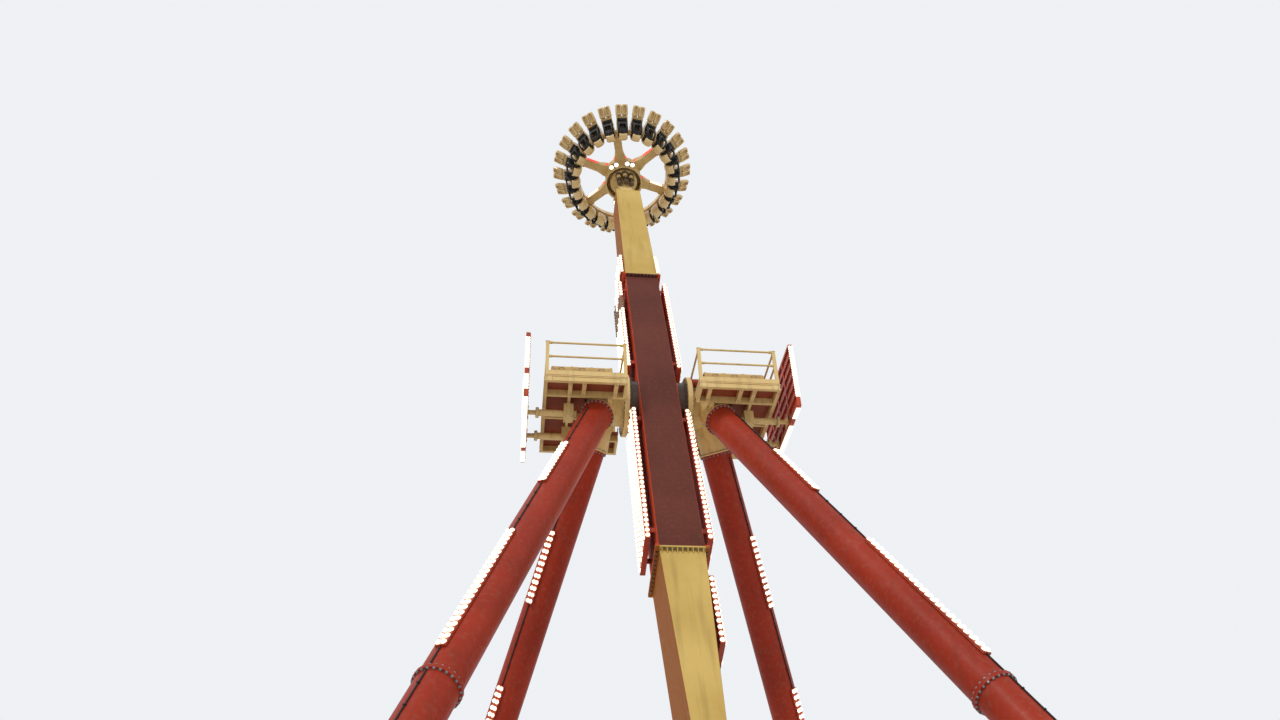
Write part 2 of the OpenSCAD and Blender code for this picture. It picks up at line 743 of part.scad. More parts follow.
module spoke() {
    hub_r = hub_d / 2;
    root = hub_r + spoke_root_l;
    waist = hub_r + spoke_flare_l;
    tip = ring_r + spoke_root_l;
    intersection() {
        translate([0, 0, ring_s - spoke_hub_h]) linear_extrude(2 * spoke_hub_h)
            polygon([[hub_r - root / 2, -spoke_hub_w / 2], [root, -spoke_hub_w / 2], [waist, -spoke_w / 2],
                     [tip, -spoke_w / 2], [tip, spoke_w / 2], [waist, spoke_w / 2],
                     [root, spoke_hub_w / 2], [hub_r - root / 2, spoke_hub_w / 2]]);
        translate([0, spoke_hub_w, ring_s]) rotate([90, 0, 0]) linear_extrude(2 * spoke_hub_w)
            polygon([[0, -spoke_hub_h / 2], [tip, -ring_h / 2], [tip, ring_h / 2], [0, spoke_hub_h / 2]]);
        difference() {
            translate([0, 0, ring_s - spoke_hub_h]) cylinder(r = ring_r - bolt_gap, h = 2 * spoke_hub_h);
            translate([0, 0, ring_s - spoke_hub_h - eps])
                cylinder(r = hub_r + bolt_gap, h = 2 * spoke_hub_h + 2 * eps);
        }
    }
}

module gondola_spokes() {
    color(cream) on_arm() for (i = [0:banks - 1]) rotate([0, 0, spoke_first + i * bank_step]) spoke();
}

// A seat's own frame: +X outwards from the ring's beam, +Z to the rider's head
module at_seat(bank, seat) {
    rotate([0, 0, spoke_first + bank * bank_step + (seat - (bank_seats - 1) / 2) * seat_step])
        translate([ring_r + ring_t + bolt_gap, 0, ring_s]) mirror([0, 0, 1]) children();
}

// A flat outline in the seat's side view, given a width about its middle
module side_cut(w, points) {
    translate([0, w / 2, 0]) rotate([90, 0, 0]) linear_extrude(w) polygon(points);
}

calf_y = seat_w / 4 - 15;

module seat_shell() {
    sole = pan_z + 90;
    side_cut(seat_w, [[0, -sole], [pan_l, -sole], [pan_l + 60, -pan_z], [90, -pan_z],
                      [70, 150], [30, shoulder_z], [-50, shoulder_z], [0, 150]]);
    side_cut(head_w, [[-50, shoulder_z - eps], [30, shoulder_z - eps], [55, head_z - 60],
                      [20, head_z], [-70, head_z], [-95, head_z - 60]]);
    for (y = [-1, 1]) translate([0, y * (seat_w - wing_t) / 2, 0])
        side_cut(wing_t, [[0, -sole], [pan_l - 60, -sole], [pan_l, -pan_z + 60], [pan_l - 120, -pan_z + 150],
                          [260, -pan_z + 190], [200, 150], [180, shoulder_z - 60], [110, shoulder_z],
                          [-40, shoulder_z], [0, 150]]);
}

// Half a tube that holds a calf, open outwards
module leg_support() {
    rotate([0, 180 - calf_tilt, 0]) difference() {
        cylinder(r = calf_r, h = calf_l);
        translate([0, 0, -eps]) cylinder(r = calf_r - wing_t, h = calf_l + 2 * eps);
        translate([-2 * calf_r, -2 * calf_r, -eps]) cube([2 * calf_r, 4 * calf_r, calf_l + 2 * eps]);
    }
}

module seat_bank(bank) {
    arc = bank_step - bank_gap;
    color(cream) on_arm() {
        rotate([0, 0, spoke_first + bank * bank_step - arc / 2]) translate([0, 0, ring_s - ring_h / 2])
            rotate_extrude(angle = arc) translate([ring_r, 0]) square([ring_t, ring_h]);
        for (seat = [0:bank_seats - 1]) at_seat(bank, seat) {
            seat_shell();
            for (y = [-1, 1]) translate([pan_l, y * calf_y, -pan_z - 45]) leg_support();
        }
    }
}

module seat_pads() {
    pad_w = seat_w - 2 * wing_t - 20;
    color(black) on_arm() for (bank = [0:banks - 1], seat = [0:bank_seats - 1]) at_seat(bank, seat)
        side_cut(pad_w, [[90, -pan_z], [pan_l - 20, -pan_z], [pan_l - 20, -pan_z + pad_t],
                         [90 + pad_t, -pan_z + pad_t], [70 + pad_t, 150], [30 + pad_t, shoulder_z - 40],
                         [36, shoulder_z - 40], [70, 150]]);
}

module shoulder_restraints() {
    bar_y = seat_w / 2 - wing_t - bar_w / 2 - 5;
    top = shoulder_z;
    color(black) on_arm() for (bank = [0:banks - 1], seat = [0:bank_seats - 1]) at_seat(bank, seat) {
        for (y = [-1, 1]) translate([0, y * bar_y, 0])
            side_cut(bar_w, [[-40, top], [30, top], [40, top + 80], [110, top + 140], [chest_x - 130, top + 120],
                             [chest_x - 75, top], [chest_x - 60, 50], [chest_x, 20], [chest_x + 30, 60],
                             [chest_x + 5, top + 10], [chest_x - 70, top + 190], [150, top + 230],
                             [0, top + 180], [-40, top + 110]]);
        side_cut(2 * bar_y, [[chest_x - 60, 120], [chest_x + 20, 120], [chest_x + 15, 330], [chest_x - 65, 330]]);
    }
}

on_side(-1) on_end(-1) leg_shape(head_front_l);  // leg_left_front
on_side(-1) leg_shape(head_rear_l);  // leg_left_rear
on_end(-1) leg_shape(head_front_l);  // leg_right_front
leg_shape(head_rear_l);  // leg_right_rear
on_side(-1) on_end(-1) foot_shape();  // foot_left_front
on_side(-1) foot_shape();  // foot_left_rear
on_end(-1) foot_shape();  // foot_right_front
foot_shape();  // foot_right_rear
on_side(-1) tower_head_shape();  // tower_head_left
tower_head_shape();  // tower_head_right
on_side(-1) slew_bearing_shape();  // slew_bearing_left
slew_bearing_shape();  // slew_bearing_right
on_side(-1) platform_shape();  // platform_left
platform_shape();  // platform_right
on_side(-1) deck_shape();  // deck_left
deck_shape();  // deck_right
on_side(-1) railing_shape();  // railing_left
railing_shape();  // railing_right
on_side(-1) gear_cover_shape();  // gear_cover_left
gear_cover_shape();  // gear_cover_right
on_side(-1) drive_motors_shape();  // drive_motors_left
drive_motors_shape();  // drive_motors_right
on_side(-1) panel_carriers_shape();  // panel_carriers_left
panel_carriers_shape();  // panel_carriers_right
on_side(-1) lamp_panel_shape();  // lamp_panel_left
lamp_panel_shape();  // lamp_panel_right
leg_lamp_bars();
on_side(-1) pivot_hub_shape();  // pivot_hub_left
pivot_hub_shape();  // pivot_hub_right
arm_middle();
arm_upper();
arm_lower();
on_side(-1) arm_lamp_boards_shape(false);  // arm_lamp_boards_left
arm_lamp_boards_shape(true);  // arm_lamp_boards_right
spin_drum();
gondola_hub();
gondola_spokes();
seat_bank(0);  // seat_bank_1
seat_bank(1);  // seat_bank_2
seat_bank(2);  // seat_bank_3
seat_bank(3);  // seat_bank_4
seat_bank(4);  // seat_bank_5
seat_bank(5);  // seat_bank_6
seat_pads();
shoulder_restraints();
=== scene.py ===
"""Looping pendulum ride: lamps, bolts, seat cushions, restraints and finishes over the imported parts."""
import json
import math
from collections import namedtuple

import bmesh
import bpy
from mathutils import Matrix, Vector


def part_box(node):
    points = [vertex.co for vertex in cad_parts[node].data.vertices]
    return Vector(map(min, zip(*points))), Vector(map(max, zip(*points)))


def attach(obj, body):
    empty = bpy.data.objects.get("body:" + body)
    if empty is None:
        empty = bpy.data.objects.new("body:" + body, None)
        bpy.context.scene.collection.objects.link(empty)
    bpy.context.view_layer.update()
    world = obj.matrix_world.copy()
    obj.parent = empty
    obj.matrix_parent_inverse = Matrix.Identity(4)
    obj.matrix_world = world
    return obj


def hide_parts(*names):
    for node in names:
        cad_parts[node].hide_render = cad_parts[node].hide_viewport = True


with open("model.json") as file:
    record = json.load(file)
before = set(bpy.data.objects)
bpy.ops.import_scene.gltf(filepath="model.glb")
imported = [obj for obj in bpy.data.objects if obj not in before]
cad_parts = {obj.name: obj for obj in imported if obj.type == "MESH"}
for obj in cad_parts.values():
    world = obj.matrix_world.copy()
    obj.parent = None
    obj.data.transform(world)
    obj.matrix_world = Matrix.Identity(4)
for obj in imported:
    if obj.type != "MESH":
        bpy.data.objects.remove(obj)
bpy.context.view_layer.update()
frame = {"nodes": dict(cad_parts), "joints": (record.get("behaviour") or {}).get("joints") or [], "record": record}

# Sides and ends of the stand, as signs of X and Y
SIDES = ((-1, "left"), (1, "right"))
ENDS = ((-1, "front"), (1, "rear"))
CORNERS = [(a, b) for a in (-1, 1) for b in (-1, 1)]

# The stand, in metres, with places along a leg counted from the legs' crossing
AXLE_H = sum(corner.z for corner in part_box("slew_bearing_left")) / 2
APEX = Vector((1.45, 0.0, AXLE_H + 0.33))
FOOT = Vector((8.28, 11.39, 0.0))
LEG_L = (FOOT - APEX).length
LEG_R = 0.45
LEG_TOP = {-1: 1.41, 1: 1.71}
LEG_JOINT = 13.855
LEG_BARS = ((4.35, 6.55), (8.95, 13.25), (15.65, 19.95))
BAR_TURN = 58.0
FRAME_Z = AXLE_H - 0.56
FLOOR_Z = FRAME_Z + 0.23
RAIL_Z = FRAME_Z + 1.43
MID_RAIL_Z = (FLOOR_Z + RAIL_Z) / 2 + 0.09
DECK_IN = 1.055
DECK_OUT = 3.43
DECK_Y = 1.855
CROSS_BEAMS = (1.33, 2.25, 2.65)
PLATES = (DECK_IN + 0.13, DECK_OUT - 0.13)
POSTS_X = (DECK_IN + 0.05, DECK_OUT - 0.05)
POSTS_Y = (-DECK_Y + 0.03, DECK_Y - 0.03)
PANEL_X = 3.93
PANEL_Y = 1.75
PANEL_LOW = FRAME_Z - 0.44
PANEL_H = 2.25
PANEL_HIGH = PANEL_LOW + PANEL_H
PANEL_MID = (PANEL_LOW + PANEL_HIGH) / 2
CARRIER_Y = 0.6
CARRIER_Z = FRAME_Z - 0.24
MOTOR_R = 0.795
MOTOR_Y = MOTOR_R * math.cos(math.radians(39))
MOTOR_Z = AXLE_H + MOTOR_R * math.sin(math.radians(39))

# The arm and the gondola, with places counted along the arm from the axle
SPIN_AXIS = next(j for j in frame["joints"] if j["name"] == "gondola_spin")["axis"]
LEAN = math.atan2(SPIN_AXIS[1], SPIN_AXIS[2])
MID = 7.05
UPPER_END = 15.10
LOWER_END = 13.70
MID_SIDE = 0.57
UPPER_SIDE = 0.507
LOWER_SIDE = 0.305
ARM_REAR = 0.768
FLANGE = 0.045
RING_S = 18.14
RING_OUT = 2.13
SEAT_GAP = 0.0003
SPOKE_FIRST = 257.0

# The lamp boards on the arm's sides: from near to far along it, outer face, half depth, and rows of lamps
Board = namedtuple("Board", "near far outer half thick rows")
UPPER = Board(1.25, 6.75, 0.86, 0.65, 0.13, (-0.56, -0.28, 0.0, 0.28, 0.56))
LOWER = UPPER._replace(near=-0.95, far=-6.55)
NECK = Board(7.65, 9.0, 0.71, 0.575, 0.115, (-0.48, -0.16, 0.16, 0.48))
TAIL = NECK._replace(near=-7.75, far=-9.85)
BOARDS = {-1: (UPPER, LOWER, NECK), 1: (UPPER, LOWER, NECK, TAIL)}


def turn(degrees, axis):
    return Matrix.Rotation(math.radians(degrees), 4, axis)


def shift(x, y, z):
    return Matrix.Translation((x, y, z))


def mirrored(x, y=1, z=1):
    """A mirror across each axis whose sign is negative. The stand is laid out at its right rear."""
    return Matrix.Diagonal((x, y, z, 1))


ARM = shift(0, 0, AXLE_H) @ Matrix.Rotation(-LEAN, 4, "X")


def on_leg(side, end):
    """A frame at the legs' crossing whose -Z runs down one leg."""
    lay_x = math.asin(FOOT.y / LEG_L)
    lay_y = -math.atan2(FOOT.x - APEX.x, APEX.z)
    return (mirrored(side, end) @ Matrix.Translation(APEX)
            @ Matrix.Rotation(lay_y, 4, "Y") @ Matrix.Rotation(lay_x, 4, "X"))


def leg_joints(reach):
    """The two faces of each bolted joint of the legs: a frame on each, and 1 above or -1 below."""
    for side, end in CORNERS:
        for joint in (LEG_TOP[end], LEG_JOINT):
            for up in (1, -1):
                yield on_leg(side, end) @ shift(0, 0, up * reach - joint), up


def at_seat(bank, seat):
    """A seat's frame: +X outwards from the ring's beam, +Z towards the rider's head."""
    angle = SPOKE_FIRST + 60 * bank + 15 * (seat - 1.5)
    return ARM @ turn(angle, "Z") @ shift(RING_OUT + SEAT_GAP, 0, RING_S) @ turn(180, "X")


# Helpers that shape, copy and finish pieces
def hold(obj):
    """Make obj the only selected object."""
    bpy.ops.object.select_all(action="DESELECT")
    obj.select_set(True)
    bpy.context.view_layer.objects.active = obj


def begin(primitive, **settings):
    """A new primitive, alone selected, with its size and place in its mesh."""
    bpy.ops.object.select_all(action="DESELECT")
    primitive(**settings)
    bpy.ops.object.transform_apply(location=True, rotation=True, scale=True)
    return bpy.context.object


def open_mesh(obj):
    """Open the mesh of obj for editing, all of it selected."""
    hold(obj)
    bpy.ops.object.mode_set(mode="EDIT")
    bpy.ops.mesh.select_all(action="SELECT")


def close_mesh():
    bpy.ops.object.mode_set(mode="OBJECT")


def choose_faces(obj, test):
    """With the mesh open, select only the faces that pass the test."""
    bpy.ops.mesh.select_mode(type="FACE")
    bpy.ops.mesh.select_all(action="DESELECT")
    shape = bmesh.from_edit_mesh(obj.data)
    for face in shape.faces:
        face.select_set(bool(test(face)))
    bmesh.update_edit_mesh(obj.data)


def draw_out(x, y, z):
    """With the mesh open, extrude what is selected."""
    bpy.ops.mesh.extrude_region_move(TRANSFORM_OT_translate={"value": (x, y, z)})


def face_out():
    """With the mesh open, select all of it and turn its faces outwards."""
    bpy.ops.mesh.select_all(action="SELECT")
    bpy.ops.mesh.normals_make_consistent(inside=False)


def settle(obj):
    """Apply every modifier of obj."""
    hold(obj)
    for modifier in list(obj.modifiers):
        bpy.ops.object.modifier_apply(modifier=modifier.name)
    return obj


def modify(obj, kind, **settings):
    """Give obj one more modifier and apply it."""
    modifier = obj.modifiers.new(kind.lower(), kind)
    for name, value in settings.items():
        setattr(modifier, name, value)
    return settle(obj)


def rounded(obj, levels):
    """Round obj by subdivision."""
    return modify(obj, "SUBSURF", levels=levels, render_levels=levels)


def block(corner, other, ease, steps=1):
    """A box between two opposite corners, its edges eased."""
    low = Vector(min(pair) for pair in zip(corner, other))
    high = Vector(max(pair) for pair in zip(corner, other))
    obj = begin(bpy.ops.mesh.primitive_cube_add, size=1, location=(low + high) / 2, scale=high - low)
    open_mesh(obj)
    bpy.ops.mesh.bevel(offset=ease, segments=steps, affect="EDGES")
    close_mesh()
    return obj


def turned(steps, sides):
    """A round part drawn out along Z through pairs of radius and height."""
    radius, height = steps[0]
    obj = begin(bpy.ops.mesh.primitive_circle_add, vertices=sides, radius=radius, fill_type="NGON",
                location=(0, 0, height))
    open_mesh(obj)
    for wide, high in steps[1:]:
        draw_out(0, 0, high - height)
        bpy.ops.transform.resize(value=(wide / radius, wide / radius, 1), center_override=(0, 0, high))
        radius, height = wide, high
    face_out()
    close_mesh()
    return obj


def hoop(radius, thick, sides, rough=0.0):
    """A bead or hoop about Z, its surface made uneven where it is a weld."""
    obj = begin(bpy.ops.mesh.primitive_torus_add, major_radius=radius, minor_radius=thick,
                major_segments=sides, minor_segments=6)
    if rough:
        open_mesh(obj)
        bpy.ops.transform.vertex_random(offset=rough, uniform=0.4, normal=0.6, seed=3)
        close_mesh()
    return obj


def ribbon(points, width, thick, ease=0.0, levels=0):
    """A strip that follows points in the XZ plane, as wide along Y as it is told."""
    obj = begin(bpy.ops.mesh.primitive_plane_add, size=width)
    open_mesh(obj)
    bpy.ops.mesh.select_mode(type="VERT")
    bpy.ops.mesh.select_all(action="DESELECT")
    shape = bmesh.from_edit_mesh(obj.data)
    for vert in shape.verts:
        vert.select_set(vert.co.x > 0)
    bmesh.update_edit_mesh(obj.data)
    bpy.ops.mesh.delete(type="VERT")
    bpy.ops.mesh.select_all(action="SELECT")
    x, z = points[0]
    bpy.ops.transform.translate(value=(x + width / 2, 0, z))
    for next_x, next_z in points[1:]:
        draw_out(next_x - x, 0, next_z - z)
        x, z = next_x, next_z
    close_mesh()
    modify(obj, "SOLIDIFY", thickness=thick, offset=0, use_even_offset=True)
    if ease:
        modify(obj, "BEVEL", width=ease, segments=2, limit_method="ANGLE", angle_limit=math.radians(50))
    if levels:
        rounded(obj, levels)
    open_mesh(obj)
    face_out()
    close_mesh()
    return obj


def tube(points, radius, closed=False, smooth=False):
    """A pipe, a bar or piping along points."""
    line = bpy.data.curves.new("tube", "CURVE")
    line.dimensions = "3D"
    line.bevel_depth = radius
    line.bevel_resolution = 1
    line.resolution_u = 3
    line.use_fill_caps = True
    spline = line.splines.new("NURBS" if smooth else "POLY")
    spline.points.add(len(points) - 1)
    for place, point in zip(spline.points, points):
        place.co = (*point, 1)
    spline.use_cyclic_u = closed
    if smooth:
        spline.order_u = 3
        spline.use_endpoint_u = True
    obj = bpy.data.objects.new("tube", line)
    bpy.context.scene.collection.objects.link(obj)
    hold(obj)
    bpy.ops.object.convert(target="MESH")
    return bpy.context.object


def put(obj, place):
    """Move the mesh of obj to a place."""
    obj.data.transform(place)
    if place.to_3x3().determinant() < 0:
        obj.data.flip_normals()
    return obj


def twin(obj, place):
    """A copy of obj with its own mesh, moved to a place."""
    copy = obj.copy()
    copy.data = obj.data.copy()
    bpy.context.scene.collection.objects.link(copy)
    return put(copy, place)


def join(parts):
    bpy.ops.object.select_all(action="DESELECT")
    for part in parts:
        part.select_set(True)
    bpy.context.view_layer.objects.active = parts[0]
    if len(parts) > 1:
        bpy.ops.object.join()
    return bpy.context.view_layer.objects.active


def drop(*parts):
    for part in parts:
        bpy.data.objects.remove(part)


def spread(master, places, last=True):
    """Copies of one part at many places, joined. The part itself goes, unless more are made of it."""
    made = join([twin(master, place) for place in places])
    if last:
        drop(master)
    return made


def row(part, count, step):
    """The part repeated in a row."""
    return modify(part, "ARRAY", count=count, use_relative_offset=False, use_constant_offset=True,
                  constant_offset_displace=step)


def finish(obj, name, slot, body, angle=32, look=None):
    """Name a piece, give it its slot's finish or another look, and let it ride on its body."""
    hold(obj)
    bpy.ops.object.shade_smooth_by_angle(angle=math.radians(angle))
    obj.name = name
    obj.data.name = name
    obj.data.materials.clear()
    obj.data.materials.append(LOOKS[look or slot])
    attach(obj, body)
    return obj


# Finishes
def linear(code):
    """A colour written as six hex digits, in the renderer's own scale."""
    parts = [int(code[i:i + 2], 16) / 255 for i in (0, 2, 4)]
    return tuple(p / 12.92 if p <= 0.04045 else ((p + 0.055) / 1.055) ** 2.4 for p in parts) + (1.0,)


class Recipe:
    """The nodes of one material, laid down one after another."""

    def __init__(self, turn_x=0.0):
        self.material = bpy.data.materials.new("finish")
        self.material.use_nodes = True
        self.nodes = self.material.node_tree.nodes
        self.links = self.material.node_tree.links
        self.shader = self.nodes["Principled BSDF"]
        place = self.nodes.new("ShaderNodeTexCoord").outputs["Object"]
        space = self.node("Mapping", Vector=place, Rotation=(turn_x, 0, 0))
        if turn_x:
            axle = Matrix.Rotation(turn_x, 3, "X") @ Vector((0, 0, AXLE_H))
            space.inputs["Location"].default_value = -axle
        self.space = space.outputs["Vector"]

    def feed(self, socket, value):
        """Link a socket to another one, or set it to a colour code, a number or a vector."""
        if isinstance(value, bpy.types.NodeSocket):
            self.links.new(value, socket)
        elif isinstance(value, str):
            socket.default_value = linear(value)
        else:
            socket.default_value = value

    def node(self, kind, **values):
        made = self.nodes.new("ShaderNode" + kind)
        for name, value in values.items():
            self.feed(made.inputs[name.replace("_", " ")], value)
        return made

    def noise(self, scale, detail=4.0, stretch=(1, 1, 1), rough=0.55):
        fit = self.node("Mapping", Vector=self.space, Scale=stretch).outputs["Vector"]
        return self.node("TexNoise", Vector=fit, Scale=scale, Detail=detail, Roughness=rough).outputs["Fac"]

    def cells(self, scale):
        return self.node("TexVoronoi", Vector=self.space, Scale=scale).outputs["Distance"]

    def glow_sides(self):
        """1 on the arm's side plates, where it is as wide as the box is there, else 0: where the painted lamp glow
        goes.
        """
        place = self.node("SeparateXYZ", Vector=self.space).outputs
        skin = 0.001
        upper = self.level(place["Z"], MID, UPPER_END, MID_SIDE - skin, UPPER_SIDE - skin)
        lower = self.level(place["Z"], -LOWER_END, -MID, LOWER_SIDE - skin, MID_SIDE - skin)
        reach = self.maths(place["X"], 0.0, "ABSOLUTE")
        return self.maths(reach, self.maths(upper, lower, "MINIMUM"), "GREATER_THAN")

    def level(self, value, low, high, to_low=0.0, to_high=1.0):
        """A value carried over from one range to another, and held at its ends."""
        return self.node("MapRange", Value=value, From_Min=low, From_Max=high, To_Min=to_low,
                         To_Max=to_high).outputs["Result"]

    def blend(self, amount, first, second):
        """The second colour laid over the first."""
        made = self.nodes.new("ShaderNodeMix")
        made.data_type = "RGBA"
        for name, value in (("A", first), ("B", second)):
            self.feed(next(s for s in made.inputs if s.name == name and s.type == "RGBA"), value)
        self.links.new(amount, made.inputs["Factor"])
        return next(s for s in made.outputs if s.type == "RGBA")

    def maths(self, first, second, how="ADD"):
        made = self.nodes.new("ShaderNodeMath")
        made.operation = how
        self.feed(made.inputs[0], first)
        self.feed(made.inputs[1], second)
        return made.outputs["Value"]

    def relief(self, height, strength, distance):
        return self.node("Bump", Height=height, Strength=strength, Distance=distance).outputs["Normal"]

    def shaded(self, **values):
        """The material, once the shader's own sockets are set and linked."""
        for name, value in values.items():
            self.feed(self.shader.inputs[name.replace("_", " ")], value)
        return self.material


def paint(code, shade_code, under_code, rough=0.42, gloss=0.5, coat=0.0, turn_x=0.0, streaks=0.35,
          chips=0.69, dusty=0.16, side_glow_code=None):
    """Sprayed paint on steel: cloudy tone, painted lamp glow and shade on the arm's side plates where a side
    colour is given, dirt that runs down, chips to the primer, a fine peel.
    """
    mix = Recipe(turn_x)
    base = mix.blend(mix.level(mix.noise(0.45, 5), 0.35, 0.68), code, shade_code)
    # Painted lamp glow and shade: the arm's side plates take their own colour in place of the lamps' light on them
    if side_glow_code:
        base = mix.blend(mix.glow_sides(), base, side_glow_code)
    run = mix.level(mix.noise(3.2, 6, (1.6, 1.6, 0.11)), 0.52, 0.78, 0.0, streaks)
    base = mix.blend(run, base, "4a3a2c")
    dust = mix.level(mix.noise(9.0, 5), 0.5, 0.8, 0.0, dusty)
    base = mix.blend(dust, base, "b8ab94")
    bare = mix.level(mix.noise(14.0, 8, rough=0.7), chips, chips + 0.025)
    fine = mix.noise(46.0, 3)
    satin = mix.level(fine, 0.3, 0.7, rough - 0.07, rough + 0.1)
    peel = mix.maths(mix.maths(fine, 0.3, "MULTIPLY"), bare, "SUBTRACT")
    return mix.shaded(Base_Color=mix.blend(bare, base, under_code),
                      Roughness=mix.maths(satin, mix.maths(run, 0.35, "MULTIPLY")),
                      Normal=mix.relief(peel, 0.22, 0.004),
                      Specular_IOR_Level=gloss, Coat_Weight=coat, Coat_Roughness=0.18)


def bare_steel(code, dark_code):
    """Turned and oiled steel with tool marks and stains."""
    mix = Recipe()
    marks = mix.noise(11.0, 5, (1, 1, 9))
    base = mix.blend(mix.level(marks, 0.3, 0.7), dark_code, code)
    stain = mix.level(mix.noise(4.0, 6), 0.55, 0.75, 0.0, 0.5)
    return mix.shaded(Base_Color=mix.blend(stain, base, "3b3026"), Metallic=0.9,
                      Roughness=mix.level(marks, 0.25, 0.75, 0.24, 0.42),
                       Normal=mix.relief(marks, 0.12, 0.002))


def zinc():
    """Hot-dip galvanising: grey spangle, white bloom and a few rust runs."""
    mix = Recipe()
    spangle = mix.cells(26.0)
    base = mix.blend(mix.level(spangle, 0.05, 0.6), "9fa4a6", "7d8385")
    bloom = mix.level(mix.noise(5.0, 6), 0.5, 0.75, 0.0, 0.5)
    base = mix.blend(bloom, base, "bfc2be")
    rust = mix.level(mix.noise(7.0, 7, (1, 1, 0.3)), 0.66, 0.74, 0.0, 0.7)
    return mix.shaded(Base_Color=mix.blend(rust, base, "7a4a2c"), Metallic=0.55,
                      Roughness=mix.level(spangle, 0.0, 0.6, 0.42, 0.6),
                      Normal=mix.relief(mix.maths(spangle, bloom), 0.1, 0.002))


def tread_plate(code, shade_code, worn_code):
    """Painted deck plate with a diamond tread, worn paler where it is walked on."""
    mix = Recipe()
    waves = []
    for direction in ("DIAGONAL", "X"):
        wave = mix.node("TexWave", Vector=mix.space, Scale=7.5)
        wave.bands_direction = direction
        waves.append(wave.outputs["Fac"])
    diamonds = mix.level(mix.maths(*waves, "MULTIPLY"), 0.62, 0.78)
    walked = mix.level(mix.noise(1.6, 5), 0.42, 0.66)
    worn = mix.maths(mix.maths(diamonds, walked, "MULTIPLY"), 0.8, "MULTIPLY")
    base = mix.blend(mix.level(mix.noise(0.9, 5), 0.35, 0.65), code, shade_code)
    return mix.shaded(Base_Color=mix.blend(worn, base, worn_code), Specular_IOR_Level=0.4,
                      Roughness=mix.level(walked, 0.0, 1.0, 0.62, 0.45),
                       Normal=mix.relief(diamonds, 0.5, 0.004))


def moulding(code, shade_code):
    """A gloss gel-coated shell: even, slightly wavy, scuffed where people climb in."""
    mix = Recipe()
    base = mix.blend(mix.level(mix.noise(1.4, 4), 0.35, 0.7), code, shade_code)
    scuff = mix.level(mix.noise(24.0, 8, (1, 1, 0.25), 0.7), 0.6, 0.7, 0.0, 0.45)
    gel = mix.level(mix.noise(8.0, 3), 0.3, 0.7, 0.2, 0.3)
    return mix.shaded(Base_Color=mix.blend(scuff, base, "8a7552"),
                      Roughness=mix.maths(gel, mix.maths(scuff, 0.5, "MULTIPLY")),
                      Normal=mix.relief(mix.noise(5.0, 2), 0.06, 0.01),
                      Specular_IOR_Level=0.5, Coat_Weight=0.4, Coat_Roughness=0.12)


def coated_cover(code, worn_code):
    """Black coated seat cover with a pebbled grain and painted shade in its hollows, rubbed smooth and grey where
    it is sat on.
    """
    mix = Recipe()
    pebble = mix.cells(210.0)
    rubbed = mix.level(mix.noise(7.0, 5), 0.45, 0.7)
    base = mix.blend(mix.maths(rubbed, 0.6, "MULTIPLY"), code, worn_code)
    # Painted shade: the grain's hollows are darkened towards near-black
    crease_shade = mix.level(pebble, 0.0, 0.25, 0.5, 0.0)
    return mix.shaded(Base_Color=mix.blend(crease_shade, base, "0b0b0c"), Specular_IOR_Level=0.45,
                      Roughness=mix.level(rubbed, 0.0, 1.0, 0.58, 0.38),
                       Normal=mix.relief(pebble, 0.35, 0.002))


def foam_skin(code, worn_code):
    """Integral-skin foam: matt, finely stippled, with flow marks and rubbed edges."""
    mix = Recipe()
    stipple = mix.noise(320.0, 2)
    flow = mix.level(mix.noise(5.0, 6, (1, 1, 0.4)), 0.45, 0.72)
    return mix.shaded(Base_Color=mix.blend(mix.maths(flow, 0.55, "MULTIPLY"), code, worn_code),
                      Roughness=mix.level(stipple, 0.3, 0.7, 0.55, 0.72), Specular_IOR_Level=0.35,
                      Normal=mix.relief(mix.maths(stipple, flow), 0.2, 0.0015))


def lens(code, glow_code, power):
    """A lamp cap of prismatic plastic, which glows where power is above 0."""
    mix = Recipe()
    prism = mix.cells(90.0)
    return mix.shaded(Base_Color=mix.blend(mix.level(prism, 0.1, 0.6), code, glow_code),
                      Roughness=mix.level(prism, 0.0, 0.6, 0.16, 0.32), Normal=mix.relief(prism, 0.3, 0.002),
                      Emission_Color=glow_code, Emission_Strength=power)


